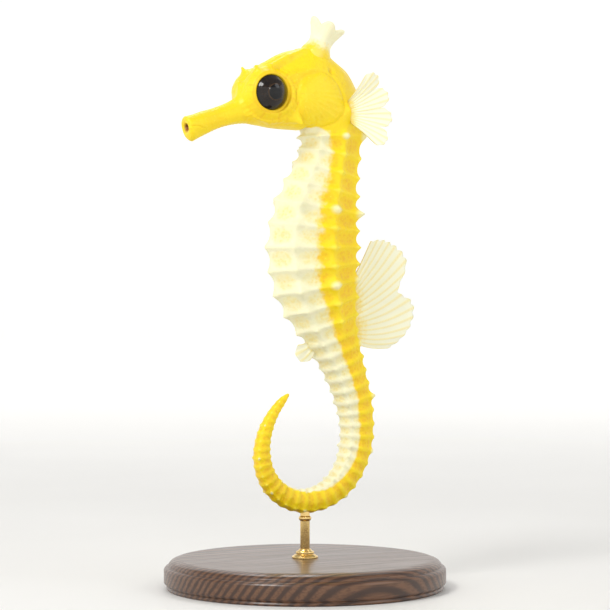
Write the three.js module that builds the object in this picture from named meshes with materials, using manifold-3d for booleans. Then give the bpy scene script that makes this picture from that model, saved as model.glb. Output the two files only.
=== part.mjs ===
// An adult yellow seahorse, Hippocampus kuda, at life size, held up by a plain round display stand.
// Millimetres, +Z up. The origin is the middle of the stand's underside. The animal faces -X and its left
// side is towards -Y. Its body is one loft along a spine that starts at the mouth, bends down through the
// nape and ends at the tip of the curled tail, and thin gaps part it into the lengths that a person would
// name.

import * as THREE from "three";
import { LoftGeometry } from "three/addons/geometries/LoftGeometry.js";
import { mergeVertices } from "three/addons/utils/BufferGeometryUtils.js";
import Module from "manifold-3d";

// ---------------------------------------------------------------- driving dimensions

const SHOULDER = 36.5; // along the spine from the mouth to the shoulder ring
const TRUNK_LENGTH = 41;
const TAIL_LENGTH = 71;
const TRUNK_RINGS = 11;
const TAIL_RINGS = 36;
const FIRST_TAIL_RING = 2.85; // length of the tail's first bony ring, and each next one is shorter
const TAIL_DRIFT = 3; // how far the tail's tip leans to the animal's left
const GAP = 0.3; // between pieces that meet

const VENT = SHOULDER + TRUNK_LENGTH;
const TAIL_TIP = VENT + TAIL_LENGTH;

const STAND = {
  radius: 28,
  height: 6,
  bevel: 1.2,
  foot: 0.5,
  clearance: 9, // from the base up to the tail
  rodRadius: 0.95,
  rodDepth: 1.7, // how far the rod reaches into the tail
  rodTip: 0.3,
  collarRadius: 2.6,
  collarHeight: 1.8,
};
const EYE = { at: 17.4, up: 1.8, out: 3.4, radius: 3.73, depth: 2.85 };

// The body's outline. "at" is the distance from the mouth along the spine, and "heading" its direction in
// degrees, 0 to the rear and -90 straight down. "back" and "belly" are the depths above and below the spine,
// "half" is half the width, and "pear" narrows the upper side of the section and fills the lower one.
const OUTLINE = [
  { at: 0, heading: 18, back: 2.3, belly: 2.75, half: 2.05, pear: 0 },
  { at: 2.6, heading: 18, back: 2.15, belly: 2.35, half: 1.9, pear: 0 },
  { at: 7, heading: 18, back: 1.95, belly: 2.0, half: 1.7, pear: 0 },
  { at: 11.5, heading: 18, back: 2.5, belly: 2.6, half: 2.2, pear: 0.06 },
  { at: 14.3, heading: 18, back: 4.6, belly: 3.8, half: 3.1, pear: 0.15 },
  { at: 17.4, heading: 18, back: 6.4, belly: 5.3, half: 4.2, pear: 0.28 },
  { at: 21, heading: 17, back: 7.6, belly: 6.7, half: 4.95, pear: 0.3 },
  { at: 25, heading: 3, back: 8.6, belly: 7.3, half: 5.4, pear: 0.28 },
  { at: 29, heading: -24, back: 8.7, belly: 7.3, half: 5.5, pear: 0.22 },
  { at: 33, heading: -56, back: 7.6, belly: 7.0, half: 5.3, pear: 0.16 },
  { at: SHOULDER, heading: -81, back: 6.6, belly: 6.6, half: 5.1, pear: 0.1 },
  { at: 41, heading: -98, back: 5.9, belly: 6.3, half: 4.9, pear: 0.06 },
  { at: 47, heading: -104, back: 6.3, belly: 7.4, half: 5.4, pear: -0.04 },
  { at: 54, heading: -99, back: 7.5, belly: 9.4, half: 6.2, pear: -0.08 },
  { at: 61, heading: -90, back: 8.1, belly: 10.4, half: 6.5, pear: -0.08 },
  { at: 69.5, heading: -78, back: 7.4, belly: 9.0, half: 5.9, pear: -0.04 },
  { at: VENT, heading: -70, back: 5.4, belly: 6.1, half: 4.6, pear: 0 },
  { at: 84, heading: -68, back: 4.2, belly: 4.5, half: 3.9, pear: 0 },
  { at: 93, heading: -76, back: 3.5, belly: 3.5, half: 3.3, pear: 0 },
  { at: 104, heading: -108, back: 3.0, belly: 3.0, half: 2.85, pear: 0 },
  { at: 116, heading: -165, back: 2.5, belly: 2.5, half: 2.4, pear: 0 },
  { at: 128, heading: -228, back: 1.95, belly: 1.95, half: 1.9, pear: 0 },
  { at: 139, heading: -284, back: 1.35, belly: 1.35, half: 1.3, pear: 0 },
  { at: TAIL_TIP, heading: -322, back: 0.55, belly: 0.55, half: 0.55, pear: 0 },
];

// Long ridges of the bony rings: the angle from the back's midline in degrees, and the rings they run over.
const RIDGES = [
  { angle: 45, first: 0, last: TRUNK_RINGS + TAIL_RINGS },
  { angle: 90, first: 0, last: TRUNK_RINGS },
  { angle: 135, first: 0, last: TRUNK_RINGS + TAIL_RINGS },
  { angle: 180, first: 0, last: TRUNK_RINGS },
];
const RELIEF = { ring: 0.045, ridge: 0.06, knob: 0.07, largeKnob: 0.13, ridgeWidth: 11 };
const LARGE_KNOB_EVERY = 4; // rings from one large knob to the next

// Flat faces round each length of the body.
const HEAD_COLUMNS = 24;
const TRUNK_COLUMNS = 24;
const TAIL_COLUMNS = [16, 16, 16, 16, 8, 8];

// ---------------------------------------------------------------- solids

const wasm = await Module();
wasm.setup();
const { Manifold, Mesh } = wasm;

/** A closed geometry as a solid that can be joined and cut. */
function solidOf(geometry) {
  const bare = new THREE.BufferGeometry().copy(geometry);
  bare.deleteAttribute("normal");
  bare.deleteAttribute("uv");
  const merged = mergeVertices(bare, 1e-4);
  return new Manifold(
    new Mesh({
      numProp: 3,
      vertProperties: merged.attributes.position.array,
      triVerts: new Uint32Array(merged.index.array),
    }),
  );
}

/** A solid's surface as a geometry. */
function geometryOf(solid) {
  const { numProp, numVert, vertProperties, triVerts } = solid.getMesh();
  const positions = new Float32Array(numVert * 3);
  for (let i = 0; i < numVert; i++) {
    positions.set(vertProperties.subarray(i * numProp, i * numProp + 3), i * 3);
  }
  return new THREE.BufferGeometry()
    .setAttribute("position", new THREE.BufferAttribute(positions, 3))
    .setIndex(new THREE.BufferAttribute(triVerts, 1));
}

/** A solid of revolution on the Z axis, from a profile of [radius, height]. */
function latheOf(profile, segments) {
  const points = profile.map(([radius, up]) => new THREE.Vector2(radius, up));
  return new THREE.LatheGeometry(points, segments).rotateX(Math.PI / 2);
}

/** A loft with both ends closed. */
function closedLoft(sections) {
  return new LoftGeometry(sections, { capStart: true, capEnd: true });
}

// ---------------------------------------------------------------- the spine and its sections

const CHANNELS = ["heading", "back", "belly", "half", "pear"];
const outline = new THREE.CubicInterpolant(
  new Float32Array(OUTLINE.map((station) => station.at)),
  new Float32Array(OUTLINE.flatMap((station) => CHANNELS.map((channel) => station[channel]))),
  CHANNELS.length,
);

/** The outline's values at a distance from the mouth. */
function outlineAt(at) {
  const values = outline.evaluate(THREE.MathUtils.clamp(at, 0, TAIL_TIP));
  return Object.fromEntries(CHANNELS.map((channel, i) => [channel, values[i]]));
}

/** The spine's points at even steps, from adding up its heading. */
const SPINE_STEP = 0.25;
const spine = [new THREE.Vector3()];
for (let at = SPINE_STEP / 2; at < TAIL_TIP + SPINE_STEP; at += SPINE_STEP) {
  const heading = THREE.MathUtils.degToRad(outlineAt(at).heading);
  const step = new THREE.Vector3(Math.cos(heading), 0, Math.sin(heading)).multiplyScalar(SPINE_STEP);
  spine.push(spine.at(-1).clone().add(step));
}

/** The spine's lowest place, where the rod holds the tail. */
const lowest = spine.reduce((low, point, i) => (point.z < spine[low].z ? i : low), 0);
const REST_AT = lowest * SPINE_STEP;
const REST_BACK = outlineAt(REST_AT).back;
const rodTop = STAND.height + STAND.clearance;
const shift = new THREE.Vector3(-spine[lowest].x, 0, rodTop + REST_BACK - spine[lowest].z);
spine.forEach((point) => point.add(shift));

/** The spine's place at a distance from the mouth, with the directions along it, to the back and the left. */
function frameAt(at) {
  const i = THREE.MathUtils.clamp(at / SPINE_STEP, 0, spine.length - 2);
  const whole = Math.floor(i);
  const place = spine[whole].clone().lerp(spine[whole + 1], i - whole);
  place.y = -TAIL_DRIFT * THREE.MathUtils.smoothstep(at, REST_AT, TAIL_TIP);
  const heading = THREE.MathUtils.degToRad(outlineAt(at).heading);
  return {
    place,
    along: new THREE.Vector3(Math.cos(heading), 0, Math.sin(heading)),
    up: new THREE.Vector3(-Math.sin(heading), 0, Math.cos(heading)),
    left: new THREE.Vector3(0, -1, 0),
  };
}

/** A point given by its distance along the spine, then towards the back and to the left. */
function placeAt(at, up, left) {
  const frame = frameAt(at);
  return frame.place.addScaledVector(frame.up, up).addScaledVector(frame.left, left);
}

/** Where a tail ring ends, with the rings shortening evenly to the tip. */
const lastTailRing = (2 * TAIL_LENGTH) / TAIL_RINGS - FIRST_TAIL_RING;
function tailRingEnd(ring) {
  const shortening = (FIRST_TAIL_RING - lastTailRing) / TAIL_RINGS;
  return VENT + ring * FIRST_TAIL_RING - (shortening * ring * ring) / 2;
}

/** Where a ring starts. Rings count from the shoulder, and half a ring is its crest. */
function ringAt(ring) {
  return ring <= TRUNK_RINGS
    ? SHOULDER + (ring * TRUNK_LENGTH) / TRUNK_RINGS
    : tailRingEnd(ring - TRUNK_RINGS);
}

/** The height of the bony relief on a ring, as a share of the body's half width. */
function reliefAt(ring, angle) {
  if (ring < 0) return 0;
  const crest = 0.5 - 0.5 * Math.cos(2 * Math.PI * ring);
  const folded = angle > 180 ? 360 - angle : angle;
  const ridge = RIDGES.filter(({ first, last }) => ring > first && ring < last).reduce(
    (height, { angle: middle }) => height + Math.exp(-Math.abs(folded - middle) / RELIEF.ridgeWidth),
    0,
  );
  const large = Math.floor(ring) % LARGE_KNOB_EVERY === 0;
  const knob = large ? RELIEF.largeKnob : RELIEF.knob;
  return RELIEF.ring * crest + ridge * (RELIEF.ridge + knob * crest);
}

/** One cross-section of the body, with its relief, grown outwards by "grow". */
function sectionAt(at, columns, ring = -1, grow = 0) {
  const { back, belly, half, pear } = outlineAt(at);
  const frame = frameAt(at);
  return Array.from({ length: columns }, (_, i) => {
    const angle = (360 * i) / columns;
    const cos = Math.cos(THREE.MathUtils.degToRad(angle));
    const sin = Math.sin(THREE.MathUtils.degToRad(angle));
    const relief = half * reliefAt(ring, angle) + grow;
    const up = cos * ((cos > 0 ? back : belly) + relief);
    const left = sin * (half * (1 - pear * cos) + relief);
    return frame.place.clone().addScaledVector(frame.up, up).addScaledVector(frame.left, left);
  });
}

/** Evenly spaced numbers from "from" to "to", both included. */
function evenly(from, to, steps) {
  return Array.from({ length: steps + 1 }, (_, i) => from + ((to - from) * i) / steps);
}

/** A smooth length of the body, for the head and snout and for cutting what stands on them. */
function smoothLength(from, to, columns, steps, grow = 0) {
  return closedLoft(evenly(from, to, steps).map((at) => sectionAt(at, columns, -1, grow)));
}

/** A ringed length of the body, from the start of ring "first" to the end of ring "last" - 1. */
function ringedLength(first, last, columns) {
  const rings = evenly(first, last, 2 * (last - first));
  const ends = { [first]: GAP / 2, [last]: -GAP / 2 };
  return closedLoft(rings.map((ring) => sectionAt(ringAt(ring) + (ends[ring] ?? 0), columns, ring)));
}

/** The rings "first" to "last" - 1 grown by a gap, to cut away from a fin that stands on them. */
function ringSleeve(first, last, columns) {
  const rings = evenly(first, last, 2 * (last - first));
  const ends = { [first]: -GAP, [last]: GAP };
  return solidOf(
    closedLoft(rings.map((ring) => sectionAt(ringAt(ring) + (ends[ring] ?? 0), columns, ring, GAP))),
  );
}

/** The largest of the separate pieces of a solid. */
function largestPiece(solid) {
  return solid.decompose().reduce((largest, piece) => (piece.volume() > largest.volume() ? piece : largest));
}

// ---------------------------------------------------------------- materials

function finish(color, roughness, metalness = 0) {
  return new THREE.MeshStandardMaterial({ color, roughness, metalness });
}

const SKIN = finish(0xf9d814, 0.5);
const CREAM = finish(0xf7f3d2, 0.5);
const FIN = finish(0xfaf6d0, 0.4);
const EYEBALL = finish(0x17120e, 0.05);
const WOOD = finish(0x4a2f1d, 0.45);
const BRASS = finish(0xc9a052, 0.3, 1);

const seahorse = new THREE.Group();

function add(name, geometry, material) {
  const mesh = new THREE.Mesh(geometry, material);
  mesh.name = name;
  seahorse.add(mesh);
}

// ---------------------------------------------------------------- head

const SNOUT_END = 12;
const LIPS = { forward: 0.55, share: 0.8 };
const MOUTH = { share: 0.5, depth: 1.3 };
const TURRET = { inner: 1, shoulder: 2.6, rim: 4.6, spread: 1 };
const HEAD_KNOBS = [
  { at: 17, up: 6.2, out: 2.6, radius: 1 }, // over the eye
  { at: 21.5, up: -4.6, out: 5.2, radius: 0.9 }, // cheek
  { at: 14.2, up: 4.6, out: 0, radius: 0.8 }, // nose
];

/** The tube snout, with rounded lips and a shallow mouth. */
function snoutGeometry() {
  const start = frameAt(0);
  const openingAt = (forward, share) =>
    sectionAt(0, HEAD_COLUMNS).map((point) =>
      point.sub(start.place).multiplyScalar(share).add(start.place).addScaledVector(start.along, -forward),
    );
  const tube = evenly(0, SNOUT_END - GAP / 2, 8).map((at) => sectionAt(at, HEAD_COLUMNS));
  const snout = solidOf(closedLoft([openingAt(LIPS.forward, LIPS.share), ...tube]));
  const outside = openingAt(2 * LIPS.forward, 1.2 * MOUTH.share);
  const inside = openingAt(-MOUTH.depth, 0.6 * MOUTH.share);
  return geometryOf(snout.subtract(solidOf(closedLoft([outside, inside]))));
}

/** The raised turret of skin that the eye sits in. */
function turret(side) {
  const { inner, shoulder, rim, spread } = TURRET;
  const profile = [
    [0, inner],
    [EYE.radius + 0.4 * spread, inner],
    [EYE.radius + spread, shoulder],
    [EYE.radius + 0.6 * spread, rim - 0.45],
    [EYE.radius + 0.1 * spread, rim],
    [0, rim - 0.1],
  ];
  const lathe = latheOf(profile, 16).rotateX((side * -Math.PI) / 2);
  const { x, z } = placeAt(EYE.at, EYE.up, 0);
  return solidOf(lathe.translate(x, 0, z));
}

/** The eyeball's geometry, or with "grow" its socket. */
function eyeGeometry(side, grow = 0) {
  const { x, z } = placeAt(EYE.at, EYE.up, 0);
  const ball = new THREE.SphereGeometry(EYE.radius + grow, 16, 9).rotateX(Math.PI / 2);
  return ball.scale(1, (EYE.depth + grow) / (EYE.radius + grow), 1).translate(x, side * EYE.out, z);
}

/** A low blunt spine, set into the head's surface. */
function headKnob({ at, up, out, radius }, side) {
  const place = placeAt(at, up, side * out);
  return solidOf(new THREE.SphereGeometry(radius, 8, 6).translate(place.x, place.y, place.z));
}

/** The head from the snout to the shoulder ring, with its turrets and blunt spines. */
function headGeometry() {
  const steps = 14;
  let head = solidOf(smoothLength(SNOUT_END + GAP / 2, SHOULDER - GAP / 2, HEAD_COLUMNS, steps));
  for (const side of [-1, 1]) {
    head = head.add(turret(side));
    for (const knob of HEAD_KNOBS) head = head.add(headKnob(knob, side));
  }
  for (const side of [-1, 1]) head = head.subtract(solidOf(eyeGeometry(side, GAP)));
  return geometryOf(head);
}

/** A solid length of the head and neck grown by a gap, to cut away from what stands on them. */
function headSleeve(from, to) {
  return solidOf(smoothLength(from, to, HEAD_COLUMNS, 12, GAP));
}

const CORONET = {
  at: 27.6,
  lean: 12, // degrees towards the back
  height: 5.6,
  base: 3.4,
  waist: 2.2,
  rim: 3.1,
  sunk: 2.2, // how far its foot reaches into the head before it is cut
  cup: 1.6, // depth of the hollow on top
  points: 5,
  swell: 0.22, // how far the points stand out and up, as a share of the radius
};

/** The bony crown: a flared cup whose rim rises into five blunt points. */
function coronetGeometry() {
  const { at, lean, height, base, waist, rim, sunk, cup, points } = CORONET;
  const profile = [
    [0, -sunk],
    [base, -sunk],
    [0.86 * base, 0.07 * height],
    [waist, 0.42 * height],
    [0.96 * rim, 0.78 * height],
    [rim, 0.94 * height],
    [0.72 * rim, height],
    [0.3 * rim, height - cup],
    [0, height - cup],
  ];
  const crown = latheOf(profile, points * 5);
  const position = crown.getAttribute("position");
  for (let i = 0; i < position.count; i++) {
    const point = new THREE.Vector3().fromBufferAttribute(position, i);
    const share = THREE.MathUtils.smoothstep(point.z, 0.3 * height, height);
    const swell = CORONET.swell * share * Math.cos(points * Math.atan2(point.y, point.x));
    point.z += swell * Math.min(rim, Math.hypot(point.x, point.y));
    point.x *= 1 + swell;
    point.y *= 1 + swell;
    position.setXYZ(i, point.x, point.y, point.z);
  }
  const { up } = frameAt(at);
  const place = placeAt(at, outlineAt(at).back, 0);
  crown.rotateY(Math.atan2(up.x, up.z) + THREE.MathUtils.degToRad(lean)).translate(place.x, place.y, place.z);
  return geometryOf(solidOf(crown).subtract(headSleeve(EYE.at, SHOULDER + 3)));
}

// ---------------------------------------------------------------- fins

const FIN_EDGE = 0.55; // thickness at a fin's edge
const SCALLOP = 0.02; // how much shorter the membrane is than the rays

/**
 * A fin as a loft across its rays. rayAt gives each ray's root, direction and length, and the way along the
 * loft's first face. Rays alternate with membrane, which is thinner and ends a little shorter.
 */
function fanGeometry(rays, rootThickness, rayAt) {
  const steps = [0, 0.5, 1];
  const sections = evenly(0, 1, 2 * rays - 2).map((share, i) => {
    const { root, direction, length, normal } = rayAt(share);
    const membrane = i % 2;
    const pointAt = (step, side) => {
      const ray = THREE.MathUtils.lerp(FIN_EDGE, rootThickness, (1 - step) ** 2);
      const thickness = membrane ? Math.max(FIN_EDGE, 0.75 * ray) : ray;
      return root
        .clone()
        .addScaledVector(direction, length * (1 - membrane * SCALLOP) * step)
        .addScaledVector(normal, (side * thickness) / 2);
    };
    return [...steps.map((step) => pointAt(step, 1)), ...steps.toReversed().map((step) => pointAt(step, -1))];
  });
  return closedLoft(sections);
}

/** Cuts a median fin clear of the rings before and behind the vent. */
function clearOfVentRings(fin) {
  const trunkEnd = ringSleeve(TRUNK_RINGS - 3, TRUNK_RINGS, TRUNK_COLUMNS);
  const tailStart = ringSleeve(TRUNK_RINGS, TRUNK_RINGS + 4, TAIL_COLUMNS[0]);
  return largestPiece(solidOf(fin).subtract(trunkEnd).subtract(tailStart));
}

// Fans in the body's middle plane. "first" and "last" are rings, "spread" and "lean" are degrees, with the
// lean towards the tail, and "notch" parts the edge into two lobes.
const DORSAL_FIN = {
  first: 9.2, last: 12.4, rays: 17, height: 17, root: 1.2, spread: 80, lean: -8, sunk: 1.2, notch: 0.28,
};
const ANAL_FIN = {
  first: 11.2, last: 11.8, rays: 4, height: 3.6, root: 0.8, spread: 50, lean: 15, sunk: 0.8, notch: 0,
};

/** A fin in the body's middle plane, on the back (side 1) or the belly (side -1). */
function medianFinGeometry({ first, last, rays, height, root, spread, lean, sunk, notch }, side) {
  const fan = fanGeometry(rays, root, (share) => {
    const at = ringAt(THREE.MathUtils.lerp(first, last, share));
    const { along, up, left } = frameAt(at);
    const { back, belly } = outlineAt(at);
    const turn = THREE.MathUtils.degToRad(lean + spread * (share - 0.5));
    const lobes = Math.sin(Math.PI * (0.2 + 0.64 * share)) - notch * Math.exp(-(((share - 0.52) / 0.1) ** 2));
    return {
      root: placeAt(at, side * ((side > 0 ? back : belly) - sunk), 0),
      direction: up.multiplyScalar(side * Math.cos(turn)).addScaledVector(along, Math.sin(turn)),
      length: height * lobes + sunk,
      normal: left.multiplyScalar(-side),
    };
  });
  return geometryOf(clearOfVentRings(fan));
}

const PECTORAL_FIN = {
  at: 34.4,
  angle: 74, // of its root, in degrees from the back's midline
  rays: 15,
  length: 8.4,
  root: 1,
  spread: 128,
  rootHeight: 4.6,
  flare: 34, // degrees out from the head
  lobes: 4,
  lobeDepth: 0.26,
  sunk: 1,
};

/** A pectoral fin, an ear-like fan behind the gill cover that opens backwards and outwards. */
function pectoralFinGeometry(side) {
  const { at, angle, rays, length, root, spread, rootHeight, flare, lobes, lobeDepth, sunk } = PECTORAL_FIN;
  const { back, half } = outlineAt(at);
  const radians = THREE.MathUtils.degToRad(angle);
  const middle = placeAt(at, back * Math.cos(radians), -side * half * Math.sin(radians));
  const { along, up } = frameAt(EYE.at + 6);
  const out = new THREE.Vector3(0, side, 0);
  const tilt = THREE.MathUtils.degToRad(flare);
  const fan = fanGeometry(rays, root, (share) => {
    const turn = THREE.MathUtils.degToRad(spread * (0.5 - share));
    const flat = along.clone().multiplyScalar(Math.cos(turn)).addScaledVector(up, Math.sin(turn));
    const direction = flat.clone().multiplyScalar(Math.cos(tilt)).addScaledVector(out, Math.sin(tilt));
    const lobe = 1 - lobeDepth + lobeDepth * Math.sqrt(Math.abs(Math.sin(Math.PI * lobes * share)));
    return {
      root: middle.clone().addScaledVector(up, rootHeight * (0.5 - share)).addScaledVector(direction, -sunk),
      direction,
      length: length * lobe + sunk,
      normal: flat.multiplyScalar(-side * Math.sin(tilt)).addScaledVector(out, side * Math.cos(tilt)),
    };
  });
  const clear = solidOf(fan).subtract(headSleeve(EYE.at, SHOULDER)).subtract(ringSleeve(0, 3, TRUNK_COLUMNS));
  return geometryOf(largestPiece(clear));
}

// ---------------------------------------------------------------- trunk and tail

const TRUNK_PARTS = { neck: [0, 3], chest: [3, 7], belly: [7, TRUNK_RINGS] };

/** Cuts the blind hole that takes the top of the rod. */
function drilledForRod(geometry) {
  const radius = STAND.rodRadius + GAP;
  const hole = new THREE.CylinderGeometry(radius, radius, 2 * (STAND.rodDepth + GAP), 16);
  hole.rotateX(Math.PI / 2).translate(0, 0, rodTop);
  return geometryOf(solidOf(geometry).subtract(solidOf(hole)));
}

function addBody() {
  add("snout", snoutGeometry(), SKIN);
  add("head", headGeometry(), SKIN);
  add("coronet", coronetGeometry(), CREAM);
  for (const [name, [first, last]] of Object.entries(TRUNK_PARTS)) {
    add(name, ringedLength(first, last, TRUNK_COLUMNS), SKIN);
  }
  const perPart = TAIL_RINGS / TAIL_COLUMNS.length;
  TAIL_COLUMNS.forEach((columns, part) => {
    const first = TRUNK_RINGS + part * perPart;
    const length = ringedLength(first, first + perPart, columns);
    const carried = REST_AT > ringAt(first) && REST_AT < ringAt(first + perPart);
    add(`tail_${part + 1}`, carried ? drilledForRod(length) : length, SKIN);
  });
}

function addEyesAndFins() {
  for (const [name, side] of Object.entries({ left: -1, right: 1 })) {
    add(`eye_${name}`, eyeGeometry(side), EYEBALL);
    add(`pectoral_fin_${name}`, pectoralFinGeometry(side), FIN);
  }
  add("dorsal_fin", medianFinGeometry(DORSAL_FIN, 1), FIN);
  add("anal_fin", medianFinGeometry(ANAL_FIN, -1), FIN);
}

// ---------------------------------------------------------------- stand

/** The base, the collar round the rod's foot, and the rod, which stands in the base and in the tail. */
function addStand() {
  const { radius, height, bevel, foot, rodRadius, rodDepth, rodTip, collarRadius, collarHeight } = STAND;
  const well = rodRadius + GAP;
  const base = [
    [0, 0],
    [radius - foot, 0],
    [radius, foot],
    [radius, height - bevel],
    [radius - 0.3 * bevel, height - 0.3 * bevel],
    [radius - bevel, height],
    [well, height],
    [well, height / 2],
    [0, height / 2],
  ];
  const collar = [
    [well, height + GAP],
    [collarRadius, height + GAP],
    [collarRadius, height + 0.6 * collarHeight],
    [0.8 * collarRadius, height + collarHeight],
    [well, height + collarHeight],
    [well, height + GAP],
  ];
  const top = rodTop + rodDepth;
  const rod = [
    [0, height / 2 + GAP],
    [rodRadius, height / 2 + GAP],
    [rodRadius, top - rodTip],
    [rodRadius - rodTip, top],
    [0, top],
  ];
  add("stand_base", latheOf(base, 48), WOOD);
  add("stand_collar", latheOf(collar, 16), BRASS);
  add("stand_rod", latheOf(rod, 16), BRASS);
}

addBody();
addEyesAndFins();
addStand();

export default seahorse;
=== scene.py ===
"""A life-size yellow seahorse, Hippocampus kuda, on a round walnut display stand.

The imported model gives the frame, in metres: +Z is up, the animal faces -X and its left side is towards -Y.
The body is described in millimetres along its spine, from the mouth (0) to the tip of the tail. Its pieces
are turned into metres when they are placed. One skin covers the head, trunk and tail. The crown, eyes, fins
and stand are pieces of their own.
"""

from __future__ import annotations

import logging
import math
from dataclasses import dataclass, field
from enum import Enum

import bmesh
import bpy
import numpy as np
from bmesh.types import BMEdge, BMesh, BMVert
from bpy.types import Material, Node, NodeSocket, NodeTree, Object
from bpy.types import bpy_prop_collection as Sockets
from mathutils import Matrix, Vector, noise


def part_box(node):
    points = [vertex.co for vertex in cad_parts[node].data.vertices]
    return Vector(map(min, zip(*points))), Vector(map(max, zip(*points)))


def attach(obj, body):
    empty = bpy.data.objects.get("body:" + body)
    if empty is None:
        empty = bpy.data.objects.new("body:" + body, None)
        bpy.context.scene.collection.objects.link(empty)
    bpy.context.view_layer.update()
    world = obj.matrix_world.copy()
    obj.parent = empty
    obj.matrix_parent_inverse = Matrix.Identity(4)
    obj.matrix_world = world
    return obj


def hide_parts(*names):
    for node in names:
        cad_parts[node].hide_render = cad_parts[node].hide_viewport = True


Array = np.ndarray
Pair = tuple[float, float]
Triple = tuple[float, float, float]

LOG = logging.getLogger("seahorse")
MM = 0.001
LEFT = np.array([0.0, -1.0, 0.0])
CAD_BODY = "root"

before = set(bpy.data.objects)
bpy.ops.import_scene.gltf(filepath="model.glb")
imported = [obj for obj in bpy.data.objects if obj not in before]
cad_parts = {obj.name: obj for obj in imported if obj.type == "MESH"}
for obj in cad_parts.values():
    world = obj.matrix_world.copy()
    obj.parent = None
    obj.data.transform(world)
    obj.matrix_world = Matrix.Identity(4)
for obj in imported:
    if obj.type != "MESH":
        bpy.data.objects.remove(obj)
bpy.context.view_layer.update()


# ---- small mathematics


def smoothstep(value: Array, low: float, high: float) -> Array:
    """A smooth rise from 0 at low to 1 at high, or a fall where low is above high."""
    share = np.clip((np.asarray(value, float) - low) / (high - low), 0.0, 1.0)
    return share * share * (3.0 - 2.0 * share)


def hump(value: Array, width: float) -> Array:
    """A bell curve: 1 at zero, falling to a third at one width either way."""
    return np.exp(-((np.asarray(value, float) / width) ** 2))


def smooth_min(first: Array, second: Array, blend: float) -> Array:
    """The lower of two distance fields, with a fillet where they are less than blend apart."""
    share = np.clip(blend - np.abs(first - second), 0.0, None) / blend
    return np.minimum(first, second) - share * share * blend / 4.0


def capsule(points: Array, start: Array, end: Array, radii: Pair) -> Array:
    """Distance to a rounded, tapered rod.

    Args:
        points: Places, with their coordinates along the last axis.
        start: The rod's first end.
        end: Its other end.
        radii: Its radius at each end.

    Returns:
        The distance from each place to its surface, negative inside.
    """
    axis = end - start
    share = np.clip(((points - start) @ axis) / (axis @ axis), 0.0, 1.0)
    gap = points - start - share[..., None] * axis
    return np.linalg.norm(gap, axis=-1) - (radii[0] + share * (radii[1] - radii[0]))


def grid(rows: Array, columns: Array) -> tuple[Array, Array]:
    """Every row's value with every column's, as two grids."""
    return tuple(np.meshgrid(rows, columns, indexing="ij"))


def signed_degrees(turn: Array) -> Array:
    """Angles in radians as degrees from -180 to 180."""
    return np.degrees(np.mod(turn + np.pi, 2 * np.pi) - np.pi)


def unit(vectors: Array) -> Array:
    """The vectors scaled to a length of one."""
    return vectors / np.maximum(np.linalg.norm(vectors, axis=-1, keepdims=True), 1e-9)


def uneven(points: Array, size: float) -> Array:
    """Gentle irregularity of about -1 to 1 at points, in bumps of a size: the same on every run."""
    flat = (points / size).reshape(-1, 3)
    return np.array([noise.noise(Vector(place)) for place in flat]).reshape(points.shape[:-1])


# ---- the body's description


@dataclass(frozen=True)
class Station:
    """The body's outline at one place along the spine, in millimetres.

    Attributes:
        at: How far along the spine it is.
        heading: Which way the spine runs there, in degrees above straight back.
        back: The height from the spine to the back.
        belly: The depth from the spine to the belly.
        half: Half the width.
        pear: How much narrower the back is than the belly, as a share.
    """

    at: float
    heading: float
    back: float
    belly: float
    half: float
    pear: float


OUTLINE = (
    Station(0.0, 18, 2.30, 2.75, 2.05, 0.0),
    Station(2.6, 18, 2.15, 2.35, 1.90, 0.0),
    Station(7.0, 18, 1.95, 2.00, 1.70, 0.0),
    Station(11.5, 18, 2.50, 2.60, 2.20, 0.06),
    Station(14.3, 18, 4.60, 3.80, 3.10, 0.15),
    Station(17.4, 18, 6.40, 5.30, 4.20, 0.28),
    Station(21.0, 17, 7.60, 6.70, 4.95, 0.30),
    Station(25.0, 3, 8.60, 7.30, 5.40, 0.28),
    Station(29.0, -24, 8.70, 7.30, 5.50, 0.22),
    Station(33.0, -56, 7.60, 7.00, 5.30, 0.16),
    Station(36.5, -81, 6.60, 6.60, 5.10, 0.10),
    Station(41.0, -98, 5.90, 6.30, 4.90, 0.06),
    Station(47.0, -104, 6.30, 7.40, 5.40, -0.04),
    Station(54.0, -99, 7.50, 9.40, 6.20, -0.08),
    Station(61.0, -90, 8.10, 10.40, 6.50, -0.08),
    Station(69.5, -78, 7.40, 9.00, 5.90, -0.04),
    Station(77.5, -70, 5.40, 6.10, 4.60, 0.0),
    Station(84.0, -68, 4.20, 4.50, 3.90, 0.0),
    Station(93.0, -76, 3.50, 3.50, 3.30, 0.0),
    Station(104.0, -108, 3.00, 3.00, 2.85, 0.0),
    Station(116.0, -165, 2.50, 2.50, 2.40, 0.0),
    Station(128.0, -228, 1.95, 1.95, 1.90, 0.0),
    Station(139.0, -284, 1.35, 1.35, 1.30, 0.0),
    Station(148.5, -322, 0.55, 0.55, 0.55, 0.0),
)


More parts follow.
